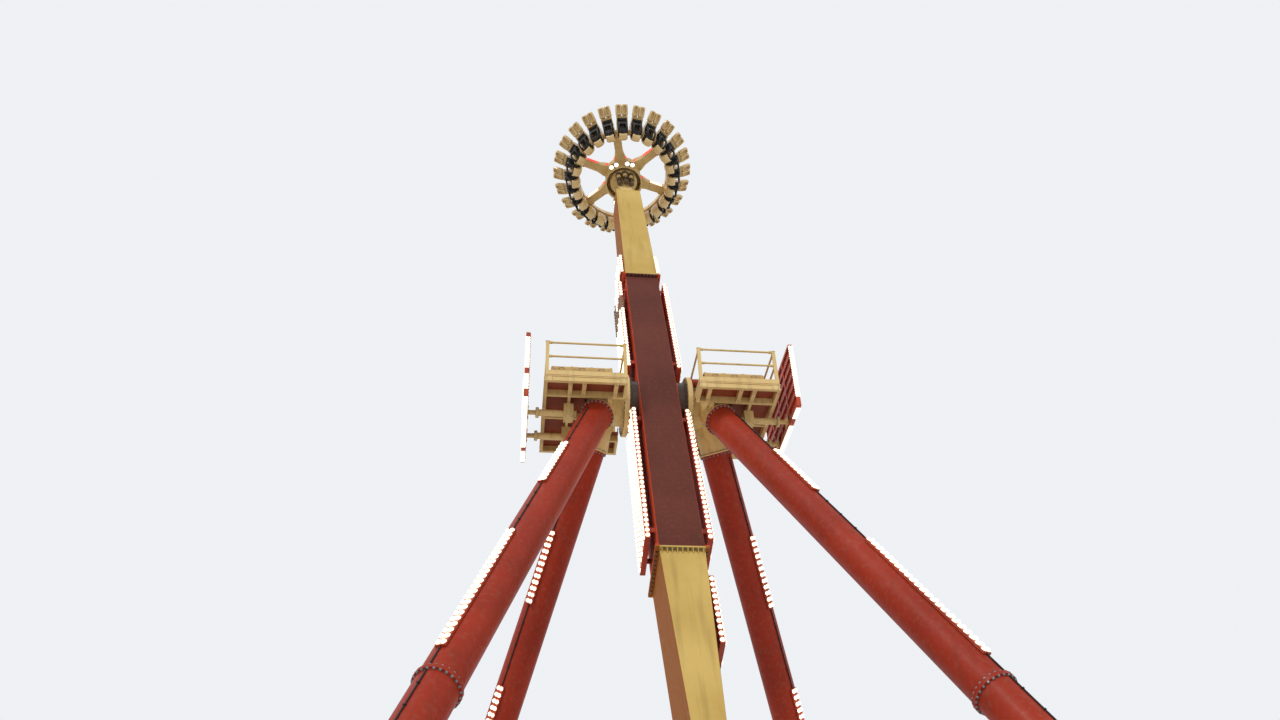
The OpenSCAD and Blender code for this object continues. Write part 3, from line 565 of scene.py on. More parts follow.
# The arms' side colours are painted lamp glow and shade on their side plates
LOOKS = {
    "stand_red": paint("a03018", "8c2612", "6b5348", rough=0.5, gloss=0.2, coat=0.03, chips=0.76, dusty=0.08),
    # arm_red is the stand's red paint darkened as painted shade
    "arm_red": paint("653329", "562a22", "46302b", rough=0.62, gloss=0.14, chips=0.8, dusty=0.05,
                     turn_x=LEAN, streaks=0.3, side_glow_code="c5482a"),
    "arm_yellow": paint("cfb268", "bc9d56", "8a7a5a", rough=0.6, gloss=0.14, chips=0.74, turn_x=LEAN,
                        streaks=0.32, side_glow_code="9a5a1c"),
    "cream_paint": paint("dcc184", "cfae6e", "8f8166", rough=0.46, gloss=0.4, coat=0.05),
    "cover_cream": paint("cfae70", "be9a5c", "8c8468", rough=0.52, gloss=0.4, streaks=0.42),
    "machine_red": paint("ac3a20", "942e18", "55473c", rough=0.44, gloss=0.4, streaks=0.3),
    "panel_red": paint("b43e20", "9c341a", "6d5346", gloss=0.4, coat=0.08, streaks=0.25),
    "deck_plate": tread_plate("984628", "7a361f", "a8866c"),
    "machined_steel": bare_steel("8d8a86", "5e5a56"),
    # dark brown steel as painted shade for the pivot hubs and slew bearings
    "shade_dark_steel": bare_steel("5b4a42", "3a2b26"),
    # dark brown as painted shade on the unlit spin-drive motors, with real dirt runs
    "shaded_drive_brown": paint("5d4a34", "463524", "2c2620", rough=0.4, turn_x=LEAN, streaks=0.5),
    "galvanised": zinc(),
    "seat_shell": moulding("dcc08a", "cfae72"),
    "seat_pad": coated_cover("1c1c1e", "333334"),
    "restraint_foam": foam_skin("17171a", "2c2c2e"),
    "cable_black": foam_skin("1a1a1c", "303030"),
    "lamp_lens": lens("fff1d8", "fff0d2", 1.5),
    "dull_lens": lens("a8947c", "7d6a58", 0.0),
    "red_lens": lens("e0323a", "ff3a40", 1.1),
}
for name, material in LOOKS.items():
    material.name = name
for subpart in frame["record"]["subparts"]:
    node = frame["nodes"][subpart["node"]]
    node.data.materials.clear()
    node.data.materials.append(LOOKS[subpart["material_slot"]])
# The pivot hubs and slew bearings take dark brown steel as painted shade between the arm and the tower heads
for side, name in SIDES:
    for part in ("pivot_hub_", "slew_bearing_"):
        frame["nodes"][part + name].data.materials[0] = LOOKS["shade_dark_steel"]

# The photograph's viewpoint, solved from the edges of the arm, the legs, the platforms and the ring
EYE = (-4.015, -25.272, 1.6)
HEADING = 8.1183     # degrees to the right of +Y
TILT = 38.3817       # degrees upwards
ROLL = -2.4968
LENS = 28.957        # mm, on a frame 36 mm wide


def camera():
    view = bpy.data.objects.new("camera", bpy.data.cameras.new("camera"))
    bpy.context.scene.collection.objects.link(view)
    view.matrix_world = shift(*EYE) @ turn(-HEADING, "Z") @ turn(90 + TILT, "X") @ turn(ROLL, "Z")
    view.data.sensor_fit = "HORIZONTAL"
    view.data.sensor_width = 36
    view.data.lens = LENS
    view.data.clip_end = 2000
    bpy.context.scene.camera = view


def sun(name, azimuth, height, strength, softness, tint):
    """Sunlight that comes from the given azimuth, from -Y towards +X, and height."""
    lamp = bpy.data.lights.new(name, "SUN")
    lamp.energy = strength
    lamp.angle = math.radians(softness)
    lamp.color = tint
    obj = bpy.data.objects.new(name, lamp)
    bpy.context.scene.collection.objects.link(obj)
    obj.rotation_euler = (math.radians(90 - height), 0, math.radians(azimuth))


def backdrop(name, colour, strength, nodes):
    light = nodes.new("ShaderNodeBackground")
    light.name = name
    light.inputs["Color"].default_value = colour
    light.inputs["Strength"].default_value = strength
    return light.outputs["Background"]


def studio():
    """A pale floor, a plain light, and a pale sky that only the camera and reflections see."""
    floor = begin(bpy.ops.mesh.primitive_plane_add, size=800, location=(0, 0, -0.002))
    floor.name = "floor"
    pale = bpy.data.materials.new("pale_floor")
    pale.use_nodes = True
    pale.node_tree.nodes["Principled BSDF"].inputs["Base Color"].default_value = (0.8, 0.79, 0.77, 1)
    pale.node_tree.nodes["Principled BSDF"].inputs["Roughness"].default_value = 0.9
    floor.data.materials.append(pale)
    world = bpy.data.worlds.new("studio")
    world.use_nodes = True
    bpy.context.scene.world = world
    nodes, links = world.node_tree.nodes, world.node_tree.links
    nodes.remove(nodes["Background"])
    rays = nodes.new("ShaderNodeLightPath").outputs
    seen = rays["Is Camera Ray"]
    for kind in ("Is Glossy Ray", "Is Transmission Ray"):
        either = nodes.new("ShaderNodeMath")
        either.operation = "MAXIMUM"
        links.new(seen, either.inputs[0])
        links.new(rays[kind], either.inputs[1])
        seen = either.outputs["Value"]
    mixed = nodes.new("ShaderNodeMixShader")
    links.new(seen, mixed.inputs["Fac"])
    links.new(backdrop("light", (1.0, 0.985, 0.96, 1), 0.5, nodes), mixed.inputs[1])
    links.new(backdrop("sky", (0.86, 0.88, 0.91, 1), 1.0, nodes), mixed.inputs[2])
    links.new(mixed.outputs["Shader"], nodes["World Output"].inputs["Surface"])
    sun("key", -38, 42, 1.5, 15, (1.0, 0.97, 0.92))
    sun("fill", 40, 18, 0.5, 40, (0.94, 0.97, 1.0))
    bpy.context.scene.view_settings.view_transform = "Standard"


camera()
studio()

# Seat cushions, filled by a cloth simulation
PAD_W = 0.405
SEAM_W = 0.013


def shaped_pad(outline, ease):
    """A pad from its outline in the seat's side view, drawn out to its width, with soft edges."""
    obj = begin(bpy.ops.mesh.primitive_circle_add, vertices=len(outline), radius=0.1, fill_type="NGON")
    for vert, (x, z) in zip(obj.data.vertices, outline):
        vert.co = (x, -PAD_W / 2, z)
    open_mesh(obj)
    draw_out(0, PAD_W, 0)
    face_out()
    bpy.ops.mesh.bevel(offset=ease, segments=2, affect="EDGES")
    close_mesh()
    return obj


def fill(pad, most=0.012):
    """Remesh the pad, blow it up as cloth, and hold back each point that went further than most."""
    modify(pad, "REMESH", mode="VOXEL", voxel_size=0.016)
    start = [vert.co.copy() for vert in pad.data.vertices]
    cloth = pad.modifiers.new("filling", "CLOTH").settings
    cloth.use_pressure = True
    cloth.uniform_pressure_force = 4.0
    cloth.quality = 6
    cloth.mass = 0.2
    cloth.effector_weights.gravity = 0
    for number in range(1, 21):
        bpy.context.scene.frame_set(number)
    settle(pad)
    for vert, home in zip(pad.data.vertices, start):
        move = vert.co - home
        if move.length > most:
            vert.co = home + move * (most / move.length)
    bpy.context.scene.frame_set(1)


def sew(pad, channels, along, depth):
    """Press sewn channels into the pad at places along one axis."""
    index = "xyz".index(along)
    normals = [vert.normal.copy() for vert in pad.data.vertices]
    for vert, normal in zip(pad.data.vertices, normals):
        near = min(abs(vert.co[index] - place) for place in channels)
        vert.co -= normal * depth * math.exp(-((near / SEAM_W) ** 2))


def piping(side, middle):
    """Piping round a pad, from the points on one side and the one on its centre line."""
    opposite = [(x, -y, z) for x, y, z in side]
    return tube(opposite + [middle] + side[::-1], 0.0055, closed=True)


seat_foam = shaped_pad([(0.118, -0.226), (0.492, -0.226), (0.492, -0.192), (0.15, -0.192),
                        (0.118, -0.192)], 0.01)
fill(seat_foam)
sew(seat_foam, (0.24, 0.37), "x", 0.009)
back_foam = shaped_pad([(0.098, -0.172), (0.124, -0.172), (0.112, 0.15), (0.072, 0.428), (0.046, 0.428),
                        (0.077, 0.15)], 0.008)
fill(back_foam)
sew(back_foam, (-0.02, 0.14, 0.30), "z", 0.008)
seat_piping = piping([(0.116, 0.2, -0.208), (0.3, 0.203, -0.204), (0.49, 0.2, -0.208)], (0.495, 0, -0.208))
back_piping = piping([(0.112, 0.2, -0.17), (0.1, 0.203, 0.15), (0.062, 0.2, 0.425)], (0.06, 0, 0.432))

# Seat shells: a crowned back, a crowned underside and two tubs for the calves
SHELL_W = 0.42
UNDER_W = 0.49
back_shell = ribbon([(-0.045, 0.15), (-0.085, 0.22), (-0.125, 0.40), (-0.135, 0.60), (-0.12, 0.75),
                     (-0.06, 0.85), (0.03, 0.885), (0.12, 0.865), (0.175, 0.81)], SHELL_W, 0.08, 0.03, 2)
for vert in back_shell.data.vertices:
    crown = 1 - (vert.co.y / (SHELL_W / 2)) ** 2
    upper = max(0.0, vert.co.z - 0.55) / 0.33
    vert.co.x -= 0.06 * crown * max(0.0, 1 - abs(vert.co.z - 0.52) / 0.45)
    vert.co.z += 0.055 * crown * upper
    vert.co.y *= 1 - 0.16 * upper
under_shell = block((-0.02, -UNDER_W / 2, -0.36), (0.535, UNDER_W / 2, -0.25), 0.05, 2)
for vert in under_shell.data.vertices:
    if vert.co.z < -0.3:
        vert.co.z -= 0.05 * (1 - (vert.co.y / (UNDER_W / 2)) ** 2)


def leg_cup():
    """A rounded tub for a calf: its length along X, open towards +Z."""
    tub = block((0.05, -0.14, -0.105), (0.56, 0.14, 0.11), 0.075, 3)
    open_mesh(tub)
    choose_faces(tub, lambda face: face.normal.z > 0.99 and face.calc_area() > 0.02)
    bpy.ops.transform.resize(value=(1.1, 1.35, 1), center_override=(0.305, 0, 0.11))
    bpy.ops.mesh.inset(thickness=0.012, depth=0)
    bpy.ops.mesh.bevel(offset=0.045, segments=1, affect="VERTICES")
    choose_faces(tub, lambda face: face.normal.z > 0.99 and face.calc_area() > 0.02)
    draw_out(0, 0, -0.07)
    bpy.ops.mesh.inset(thickness=0.02, depth=0)
    bpy.ops.transform.translate(value=(0, 0, -0.03))
    close_mesh()
    return rounded(tub, 1)


calf_line = shift(0.52, 0, -0.275) @ turn(35, "Y")
leg_cups = spread(leg_cup(), [calf_line @ shift(0, y, 0) for y in (0.14, -0.14)])
head_pad = block((0.04, -0.11, 0.50), (0.062, 0.11, 0.66), 0.009, 2)
put(head_pad, shift(0.054, 0, 0.58) @ turn(3, "Y") @ shift(-0.05, 0, -0.58))

# Shoulder restraints of moulded foam over a steel frame
shoulder = ribbon([(-0.01, 0.50), (-0.005, 0.56), (0.035, 0.625), (0.13, 0.664), (0.24, 0.666),
                   (0.335, 0.632), (0.388, 0.54), (0.402, 0.42), (0.408, 0.25), (0.415, 0.10),
                   (0.418, 0.055)], 0.074, 0.072, 0.012, 1)
chest = block((0.378, -0.15, 0.125), (0.446, 0.15, 0.325), 0.022, 2)
open_mesh(chest)
choose_faces(chest, lambda face: face.normal.x < -0.9 and face.calc_area() > 0.01)
bpy.ops.mesh.inset(thickness=0.03, depth=0)
bpy.ops.transform.translate(value=(0.012, 0, 0))
close_mesh()
rounded(chest, 1)
restraint = join([spread(shoulder, [shift(0, y, 0) for y in (0.18, -0.18)]), chest])
handle = tube([(0.43, -0.14, 0.20), (0.452, -0.14, 0.21), (0.458, -0.135, 0.26), (0.452, -0.13, 0.33),
               (0.425, -0.125, 0.345)], 0.011, smooth=True)
handles = spread(handle, [mirrored(1, y) for y in (-1, 1)])
pivot = turned([(0.034, 0), (0.034, 0.02), (0.028, 0.03), (0.028, 0.046), (0.02, 0.052)], 12)
pivots = spread(pivot, [shift(-0.012, 0.218 * y, 0.50) @ turn(-90 * y, "X") @ shift(0, 0, -0.045)
                        for y in (1, -1)])
belt = ribbon([(0.44, 0.135), (0.44, 0.06), (0.415, -0.02), (0.38, -0.10), (0.33, -0.17)], 0.045, 0.004)
belts = join([belt, block((0.318, -0.032, -0.182), (0.352, 0.032, -0.150), 0.005)])

for bank in range(6):
    places = [at_seat(bank, seat) for seat in range(4)]
    for master, name, slot, node, stuffing, angle in (
            (seat_foam, "seat_cushions_", "seat_pad", "seat_pads", 0.8, 60),
            (back_foam, "back_cushions_", "seat_pad", "seat_pads", 0.8, 60),
            (restraint, "foam_restraints_", "restraint_foam", "shoulder_restraints", 1.0, 50)):
        piece = finish(spread(master, places, False), name + str(bank + 1), slot, "gondola", angle)
        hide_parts(node)
drop(seat_foam, back_foam, restraint)
every_seat = [at_seat(bank, seat) for bank in range(6) for seat in range(4)]
finish(join([spread(seat_piping, every_seat), spread(back_piping, every_seat)]), "cushion_piping", "seat_pad",
       "gondola")
finish(spread(head_pad, every_seat), "head_pads", "seat_pad", "gondola")
finish(spread(back_shell, every_seat), "back_shells", "seat_shell", "gondola", 50)
finish(spread(leg_cups, every_seat), "leg_cups", "seat_shell", "gondola", 50)
finish(spread(under_shell, every_seat), "under_shells", "seat_shell", "gondola", 50)
finish(spread(handles, every_seat), "grab_handles", "machined_steel", "gondola")
finish(spread(pivots, every_seat), "restraint_pivots", "machined_steel", "gondola")
finish(spread(belts, every_seat), "crotch_belts", "restraint_foam", "gondola", look="cable_black")

# Lamps and bolts, modelled once
lamp = turned([(0.06, -0.002), (0.06, 0.012), (0.052, 0.016), (0.048, 0.036), (0.028, 0.05)], 10)
small_lamp = turned([(0.038, -0.002), (0.038, 0.01), (0.032, 0.012), (0.028, 0.03), (0.013, 0.038)], 8)
bolt = join([turned([(0.034, -0.002), (0.034, 0.006)], 10),
             turned([(0.028, 0.006), (0.028, 0.022), (0.024, 0.027)], 6)])
small_bolt = join([turned([(0.017, -0.002), (0.017, 0.003)], 8),
                   turned([(0.0135, 0.003), (0.0135, 0.012)], 6)])


def lamp_row(place, start, stop, across=0.0, pitch=0.185, master=lamp):
    """A row of lamps that face the frame's +X, along its Z from start to stop."""
    count = max(2, int(round((stop - start) / pitch)) + 1)
    step = (stop - start) / (count - 1)
    line = row(twin(master, turn(90, "Y")), count, (0, 0, step))
    return put(line, place @ shift(0, across, start))


def board_lamps(side, board):
    """The lamps of one arm board: rows on the outer face, then a row on the front and on the rear rim."""
    sense = 1 if board.far > board.near else -1
    low, high = sorted((board.near + sense * 0.11, board.far - sense * 0.09))
    face = ARM @ mirrored(side) @ shift(board.outer, 0, 0)
    parts = []
    for number, y in enumerate(board.rows):
        inset = 0.09 * (number % 2)
        parts.append(lamp_row(face, low + inset, high - inset, y))
    for end in (-1, 1):
        rim = ARM @ mirrored(side, end) @ shift(board.outer - board.thick / 2, board.half, 0) @ turn(90, "Z")
        parts.append(lamp_row(rim, low, high))
    return parts


for side, name in SIDES:
    if side > 0:
        parts = board_lamps(side, UPPER)
    else:
        # In the photograph the left board is dark over a short stretch, and at the rear above that
        parts = board_lamps(side, UPPER._replace(far=4.90))
        unlit = board_lamps(side, UPPER._replace(near=4.885, far=5.755))
        above = board_lamps(side, UPPER._replace(near=5.74))
        parts += above[:3] + above[5:6]
        finish(join(unlit + above[3:5] + above[6:]), "arm_lamps_unlit", "lamp_lens", "arm", look="dull_lens")
    finish(join(parts), "arm_lamps_upper_" + name, "lamp_lens", "arm")
    finish(join(board_lamps(side, LOWER)), "arm_lamps_lower_" + name, "lamp_lens", "arm")
    parts = [line for board in BOARDS[side][2:] for line in board_lamps(side, board)]
    finish(join(parts), "arm_lamps_end_" + name, "lamp_lens", "arm")

# Lamps along the legs, joined by a conduit in clips that stops short of the bolted joint
CONDUITS = ((1.9, 4.35), (6.55, 8.95), (13.25, 13.78), (13.93, 15.65), (19.95, 23.2))
CLIPS = (2.4, 3.2, 4.0, 7.1, 7.75, 8.4, 14.3, 14.9, 20.5, 21.3, 22.1, 22.9)
for side, side_name in SIDES:
    for end, end_name in ENDS:
        line = on_leg(side, end) @ turn(-end * BAR_TURN, "Z") @ shift(LEG_R, 0, 0)
        label = side_name + "_" + end_name
        rows = [lamp_row(line @ shift(0.0603, 0, 0), 0.08 - stop, -start - 0.08, across)
                for start, stop in LEG_BARS for across in (-0.055, 0.055)]
        finish(join(rows), "leg_lamps_" + label, "lamp_lens", "stand")
        pipes = [tube([(0, 0, -a), (0, 0, -(a + b) / 2), (0, 0, -b)], 0.018) for a, b in CONDUITS]
        clip = block((-0.02, -0.032, -0.02), (0.024, 0.032, 0.02), 0.005)
        pipes.append(spread(clip, [shift(0, 0, -place) for place in CLIPS]))
        finish(put(join(pipes), line @ shift(0.018, 0, 0)), "leg_conduit_" + label, "restraint_foam", "stand",
               look="cable_black")


# Bolted joints
def bolt_ring(count, radius, master=bolt):
    """A ring of bolt heads about Z that face +Z."""
    return spread(master, [turn(360 * i / count, "Z") @ shift(radius, 0, 0) for i in range(count)], False)


places = [place @ turn(90 - 90 * up, "X") for place, up in leg_joints(FLANGE)]
finish(spread(bolt_ring(24, 0.472), places), "leg_flange_bolts", "galvanised", "stand")

disc_ring = bolt_ring(36, 0.875)
cap_ring = bolt_ring(20, 0.57)
parts = []
for side in (-1, 1):
    for ring, x, facing in ((disc_ring, 0.88, -90), (disc_ring, 1.02, 90), (cap_ring, 2.15, 90)):
        parts.append(twin(ring, mirrored(side) @ shift(x, 0, AXLE_H) @ turn(facing, "Y")))
drop(disc_ring, cap_ring)
finish(join(parts), "tower_disc_bolts", "machined_steel", "stand")

places = []
for joint in (MID, -MID):
    for face in (-1, 1):
        flange = ARM @ shift(0, 0, joint + face * FLANGE) @ turn(90 - 90 * face, "X")
        for end in (-1, 1):
            places += [flange @ shift((i - 3.5) * 1.15 / 9, face * end * 0.82, 0) for i in range(8)]
            places += [flange @ shift(end * 0.625, face * (i - 4.5) * 0.15, 0) for i in range(10)]
finish(spread(bolt, places, False), "arm_joint_bolts", "machined_steel", "arm")

places = []
for end in (-1, 1):
    for i in range(-2, 3):
        places.append(ARM @ shift(end * 0.41, i * 0.22, UPPER_END + FLANGE))
        places.append(ARM @ shift(i * 0.16, end * 0.49, UPPER_END + FLANGE))
finish(spread(bolt, places, False), "neck_base_bolts", "machined_steel", "arm")

# Feet: anchor studs with nuts, and bolts through the leg plates
stud = join([turned([(0.046, -0.001), (0.046, 0.008)], 12), turned([(0.037, 0.008), (0.037, 0.04)], 6),
             turned([(0.021, 0.04), (0.021, 0.085), (0.017, 0.09)], 10)])
parts = []
for side, end in CORNERS:
    foot = shift(side * FOOT.x, end * FOOT.y, 0)
    parts.append(spread(stud, [foot @ shift(a * 0.74, b * 0.74, 0.06) for a, b in CORNERS], False))
    places = [(a * 0.57, b * 0.57) for a, b in CORNERS]
    places += [(a * 0.59 + b * 0.2, b * 0.59 + a * 0.2) for a, b in ((-1, 0), (1, 0), (0, -1), (0, 1))]
    parts.append(spread(bolt, [foot @ shift(x, y, 0.11) for x, y in places], False))
drop(stud)
finish(join(parts), "anchor_bolts", "galvanised", "stand")

# Welds round the legs' flanges, the housings and the arm's pivots
places = [place for place, up in leg_joints(FLANGE + 0.002)]
finish(spread(hoop(0.452, 0.012, 72, 0.002), places), "leg_welds", "stand_red", "stand")
places = [mirrored(side) @ shift(1.022, 0, AXLE_H) @ turn(90, "Y") for side in (-1, 1)]
finish(spread(hoop(0.642, 0.014, 72, 0.002), places), "housing_welds", "cream_paint", "stand")
places = [ARM @ mirrored(side) @ shift(0.577, 0, 0) @ turn(90, "Y") for side in (-1, 1)]
finish(spread(hoop(0.782, 0.012, 96, 0.002), places), "pivot_welds", "arm_red", "arm")

# Platforms: channel flanges, corner plates, rail collars and post feet
for side, name in SIDES:
    place = mirrored(side)
    parts = []
    for z in (FRAME_Z + 0.016, FRAME_Z + 0.184):
        for end in (-1, 1):
            parts.append(block((DECK_IN - 0.01, end * (DECK_Y - 0.002), z - 0.016),
                               (DECK_OUT + 0.022, end * (DECK_Y + 0.022), z + 0.016), 0.004))
        parts.append(block((DECK_OUT - 0.002, -DECK_Y, z - 0.016),
                           (DECK_OUT + 0.022, DECK_Y, z + 0.016), 0.004))
    for end in (-1, 1):
        for x in CROSS_BEAMS:
            parts.append(block((x - 0.02, end * 1.17, FRAME_Z - 0.004),
                               (x + 0.10, end * (DECK_Y - 0.082), FRAME_Z + 0.012), 0.003))
        for x in PLATES:
            parts.append(block((x - 0.12, end * DECK_Y, FRAME_Z + 0.03),
                               (x + 0.12, end * (DECK_Y + 0.012), FRAME_Z + 0.17), 0.003))
    finish(put(join(parts), place), "platform_flanges_" + name, "cream_paint", "stand")

    places = []
    for end in (-1, 1):
        for x in PLATES:
            plate = place @ shift(x, end * (DECK_Y + 0.011), FRAME_Z + 0.10)
            places += [plate @ shift(a * 0.08, 0, b * 0.045) @ turn(-90 * end, "X") for a, b in CORNERS]
        places += [place @ shift(x + 0.04, end * y, FRAME_Z - 0.004) @ turn(180, "X")
                   for x in CROSS_BEAMS for y in (1.25, 1.75)]
    finish(spread(small_bolt, places, False), "platform_bolts_" + name, "galvanised", "stand")

    collar = turned([(0.036, -0.05), (0.042, -0.045), (0.042, 0.045), (0.036, 0.05)], 14)
    places = [shift(x, y, z) @ turn(90, "Y")
              for y in POSTS_Y for z in (RAIL_Z, MID_RAIL_Z) for x in (DECK_IN + 0.14, DECK_OUT - 0.14)]
    places += [shift(x, y, RAIL_Z) @ turn(90, "X") for x in POSTS_X for y in (-DECK_Y + 0.11, DECK_Y - 0.11)]
    parts = [spread(collar, places)]
    for x in POSTS_X:
        for y in POSTS_Y:
            parts.append(block((x - 0.062, y - 0.04, RAIL_Z + 0.028),
                               (x + 0.062, y + 0.04, RAIL_Z + 0.045), 0.006))
            inward = -math.copysign(1, y)
            parts.append(block((x - 0.05, y + inward * 0.03, FLOOR_Z),
                               (x + 0.05, y + inward * 0.13, FLOOR_Z + 0.014), 0.003))
    finish(put(join(parts), place), "rail_fittings_" + name, "cream_paint", "stand")


# Machine covers: standing seams, louvres, latches, handles and lifting eyes
def cover_profile(out, steps=5):
    """The cover's outline across, from one foot over the rounded top to the other."""
    half, top, radius = 1.0 + out, FLOOR_Z + 1.05 + out, 0.15 + out
    points = [(-half, FLOOR_Z + 0.01)]
    for side, start in ((-1, math.pi), (1, math.pi / 2)):
        for k in range(steps + 1):
            angle = start - k * math.pi / 2 / steps
            points.append((side * (half - radius) + radius * math.cos(angle),
                           top - radius + radius * math.sin(angle)))
    points.append((half, FLOOR_Z + 0.01))
    return points


for side, name in SIDES:
    place = mirrored(side)
    seam = put(ribbon(cover_profile(0.006), 0.06, 0.014, 0.003), turn(90, "Z"))
    parts = [spread(seam, [shift(x, 0, 0) for x in (1.44, 2.02, 2.62)])]
    for end in (-1, 1):
        parts.append(block((1.40, end * 0.99, FLOOR_Z), (3.24, end * 1.03, FLOOR_Z + 0.05), 0.004))
        slat = put(block((-0.22, -0.004, -0.022), (0.22, 0.022, 0.008), 0.004), turn(-25 * end, "X"))
        louvre = row(slat, 8, (0, 0, 0.055))
        parts.append(spread(louvre, [shift(x, end * 1.0, FLOOR_Z + 0.35) for x in (1.73, 2.32)]))
    parts.append(block((3.23, -0.99, FLOOR_Z), (3.27, 0.99, FLOOR_Z + 0.05), 0.004))
    parts.append(block((2.75, -0.45, FLOOR_Z + 1.045), (3.02, 0.45, FLOOR_Z + 1.068), 0.008, 2))
    finish(put(join(parts), place), "cover_trim_" + name, "cover_cream", "stand")

    grip = tube([(-0.08, 0, 0), (-0.08, 0.05, 0), (-0.06, 0.062, 0), (0.06, 0.062, 0), (0.08, 0.05, 0),
                 (0.08, 0, 0)], 0.009, smooth=True)
    latch = block((-0.02, -0.002, -0.05), (0.02, 0.02, 0.05), 0.006)
    eye = join([put(hoop(0.034, 0.009, 16), shift(0, 0, 0.04) @ turn(90, "X")),
                turned([(0.03, -0.002), (0.03, 0.01), (0.016, 0.014)], 10)])
    parts = []
    for end in (-1, 1):
        for fitting, y, z, xs in ((grip, 1.0, 0.88, (1.73, 2.32, 2.93)),
                                  (latch, 1.006, 0.14, (1.55, 1.92, 2.15, 2.5, 2.8, 3.1)),
                                  (eye, 0.62, 1.05, (1.62, 2.9))):
            facing = turn(0 if end > 0 or fitting is eye else 180, "Z")
            parts += [twin(fitting, shift(x, end * y, FLOOR_Z + z) @ facing) for x in xs]
    drop(grip, latch, eye)
    finish(put(join(parts), place), "cover_fittings_" + name, "galvanised", "stand")

# Drive motors: cooling fins, end cowls and terminal boxes
fin = turned([(0.128, -0.004), (0.142, -0.004), (0.142, 0.004), (0.128, 0.004)], 28)
fins = row(put(fin, turn(90, "Y")), 16, (0.042, 0, 0))
cowl = turned([(0.128, 0), (0.138, 0.012), (0.138, 0.10), (0.124, 0.125), (0.06, 0.128), (0.055, 0.118)], 28)
motor = join([put(fins, shift(1.16, MOTOR_Y, MOTOR_Z)),
              put(cowl, shift(1.86, MOTOR_Y, MOTOR_Z) @ turn(90, "Y")),
              block((1.3, MOTOR_Y + 0.11, MOTOR_Z - 0.07), (1.5, MOTOR_Y + 0.19, MOTOR_Z + 0.07), 0.008)])
finish(spread(motor, [mirrored(*corner) for corner in CORNERS]), "drive_motor_fins", "machine_red", "stand")

# Lamp panels: rim channels, lamps along the rims, bolts on the ribs and the carriers
FRONT_RUNS = {-1: ((19.22, 19.68), (19.98, 21.05)), 1: ((19.34, 21.17),)}
REAR_RUNS = ((19.10, 21.14),)
LOW_RUNS = {-1: ((-1.64, 0.86), (1.16, 1.66)), 1: ((-1.62, -1.15), (-0.70, 0.98), (1.17, 1.70))}
HIGH_RUNS = ((-1.68, 1.68),)
RIM_IN = PANEL_X - 0.035
RIM_OUT = PANEL_X + 0.09
RIM_MID = (RIM_IN + RIM_OUT) / 2
RIM_LIP = 0.02
RIB_Y = PANEL_Y / 2
for side, name in SIDES:
    place = mirrored(side)
    parts = []
    for end in (-1, 1):
        parts.append(block((RIM_IN, end * (PANEL_Y - 0.01), PANEL_LOW - RIM_LIP),
                           (RIM_OUT, end * (PANEL_Y + RIM_LIP), PANEL_HIGH + RIM_LIP), 0.006))
    for z, out in ((PANEL_LOW, -1), (PANEL_HIGH, 1)):
        parts.append(block((RIM_IN, -PANEL_Y, z + out * RIM_LIP), (RIM_OUT, PANEL_Y, z - out * 0.01), 0.006))
    for k in (-1, 0, 1):
        parts.append(block((PANEL_X - 0.045, k * RIB_Y - 0.03, PANEL_LOW),
                           (PANEL_X - 0.002, k * RIB_Y + 0.03, PANEL_HIGH), 0.004))
    diamond = block((-0.006, -0.5, -0.5), (0.012, 0.5, 0.5), 0.006)
    parts.append(put(diamond, shift(PANEL_X + 0.06, 0, PANEL_MID) @ turn(45, "X")))
    finish(put(join(parts), place), "panel_frame_" + name, "panel_red", "stand")

    lights = []
    for across in (-0.033, 0.033):
        for end, runs in ((-1, FRONT_RUNS[side]), (1, REAR_RUNS)):
            face = mirrored(side, end) @ shift(RIM_MID + across, PANEL_Y + RIM_LIP, 0) @ turn(90, "Z")
            lights += [lamp_row(face, low, high, pitch=0.09, master=small_lamp) for low, high in runs]
        for runs, z, up in ((LOW_RUNS[side], PANEL_LOW - RIM_LIP, 1), (HIGH_RUNS, PANEL_HIGH + RIM_LIP, -1)):
            face = place @ shift(RIM_MID + across, 0, z) @ turn(90 * up, "Y") @ turn(90, "X")
            lights += [lamp_row(face, *sorted((-up * low, -up * high)), pitch=0.09, master=small_lamp)
                       for low, high in runs]
    centre = place @ shift(PANEL_X + 0.07, 0, PANEL_MID)
    lights += [lamp_row(centre @ turn(45 + 90 * k, "X") @ shift(0, 0.45, 0), -0.35, 0.35) for k in range(4)]
    finish(join(lights), "panel_lamps_" + name, "lamp_lens", "stand")

    places = []
    for end in (-1, 1):
        tube_end = place @ shift(3.6, end * CARRIER_Y, CARRIER_Z)
        for k in range(10):
            places += [tube_end @ turn(36 * k, "X") @ shift(0.04 * face, 0.132, 0) @ turn(90 * face, "Y")
                       for face in (1, -1)]
        places += [place @ shift(3.86, end * CARRIER_Y + a * 0.11, CARRIER_Z + b * 0.11) @ turn(-90, "Y")
                   for a, b in CORNERS]
        places += [place @ shift(2.69 + a * 0.1, end * CARRIER_Y + b * 0.15, FRAME_Z - 0.43) @ turn(180, "X")
                   for a, b in CORNERS]
    for rib in range(7):
        z = PANEL_LOW + 0.05 + rib * (PANEL_H - 0.1) / 6
        places += [place @ shift(PANEL_X - 0.05, 0.32 * k, z) @ turn(-90, "Y") for k in range(-5, 6)]
    finish(spread(small_bolt, places, False), "panel_bolts_" + name, "galvanised", "stand")


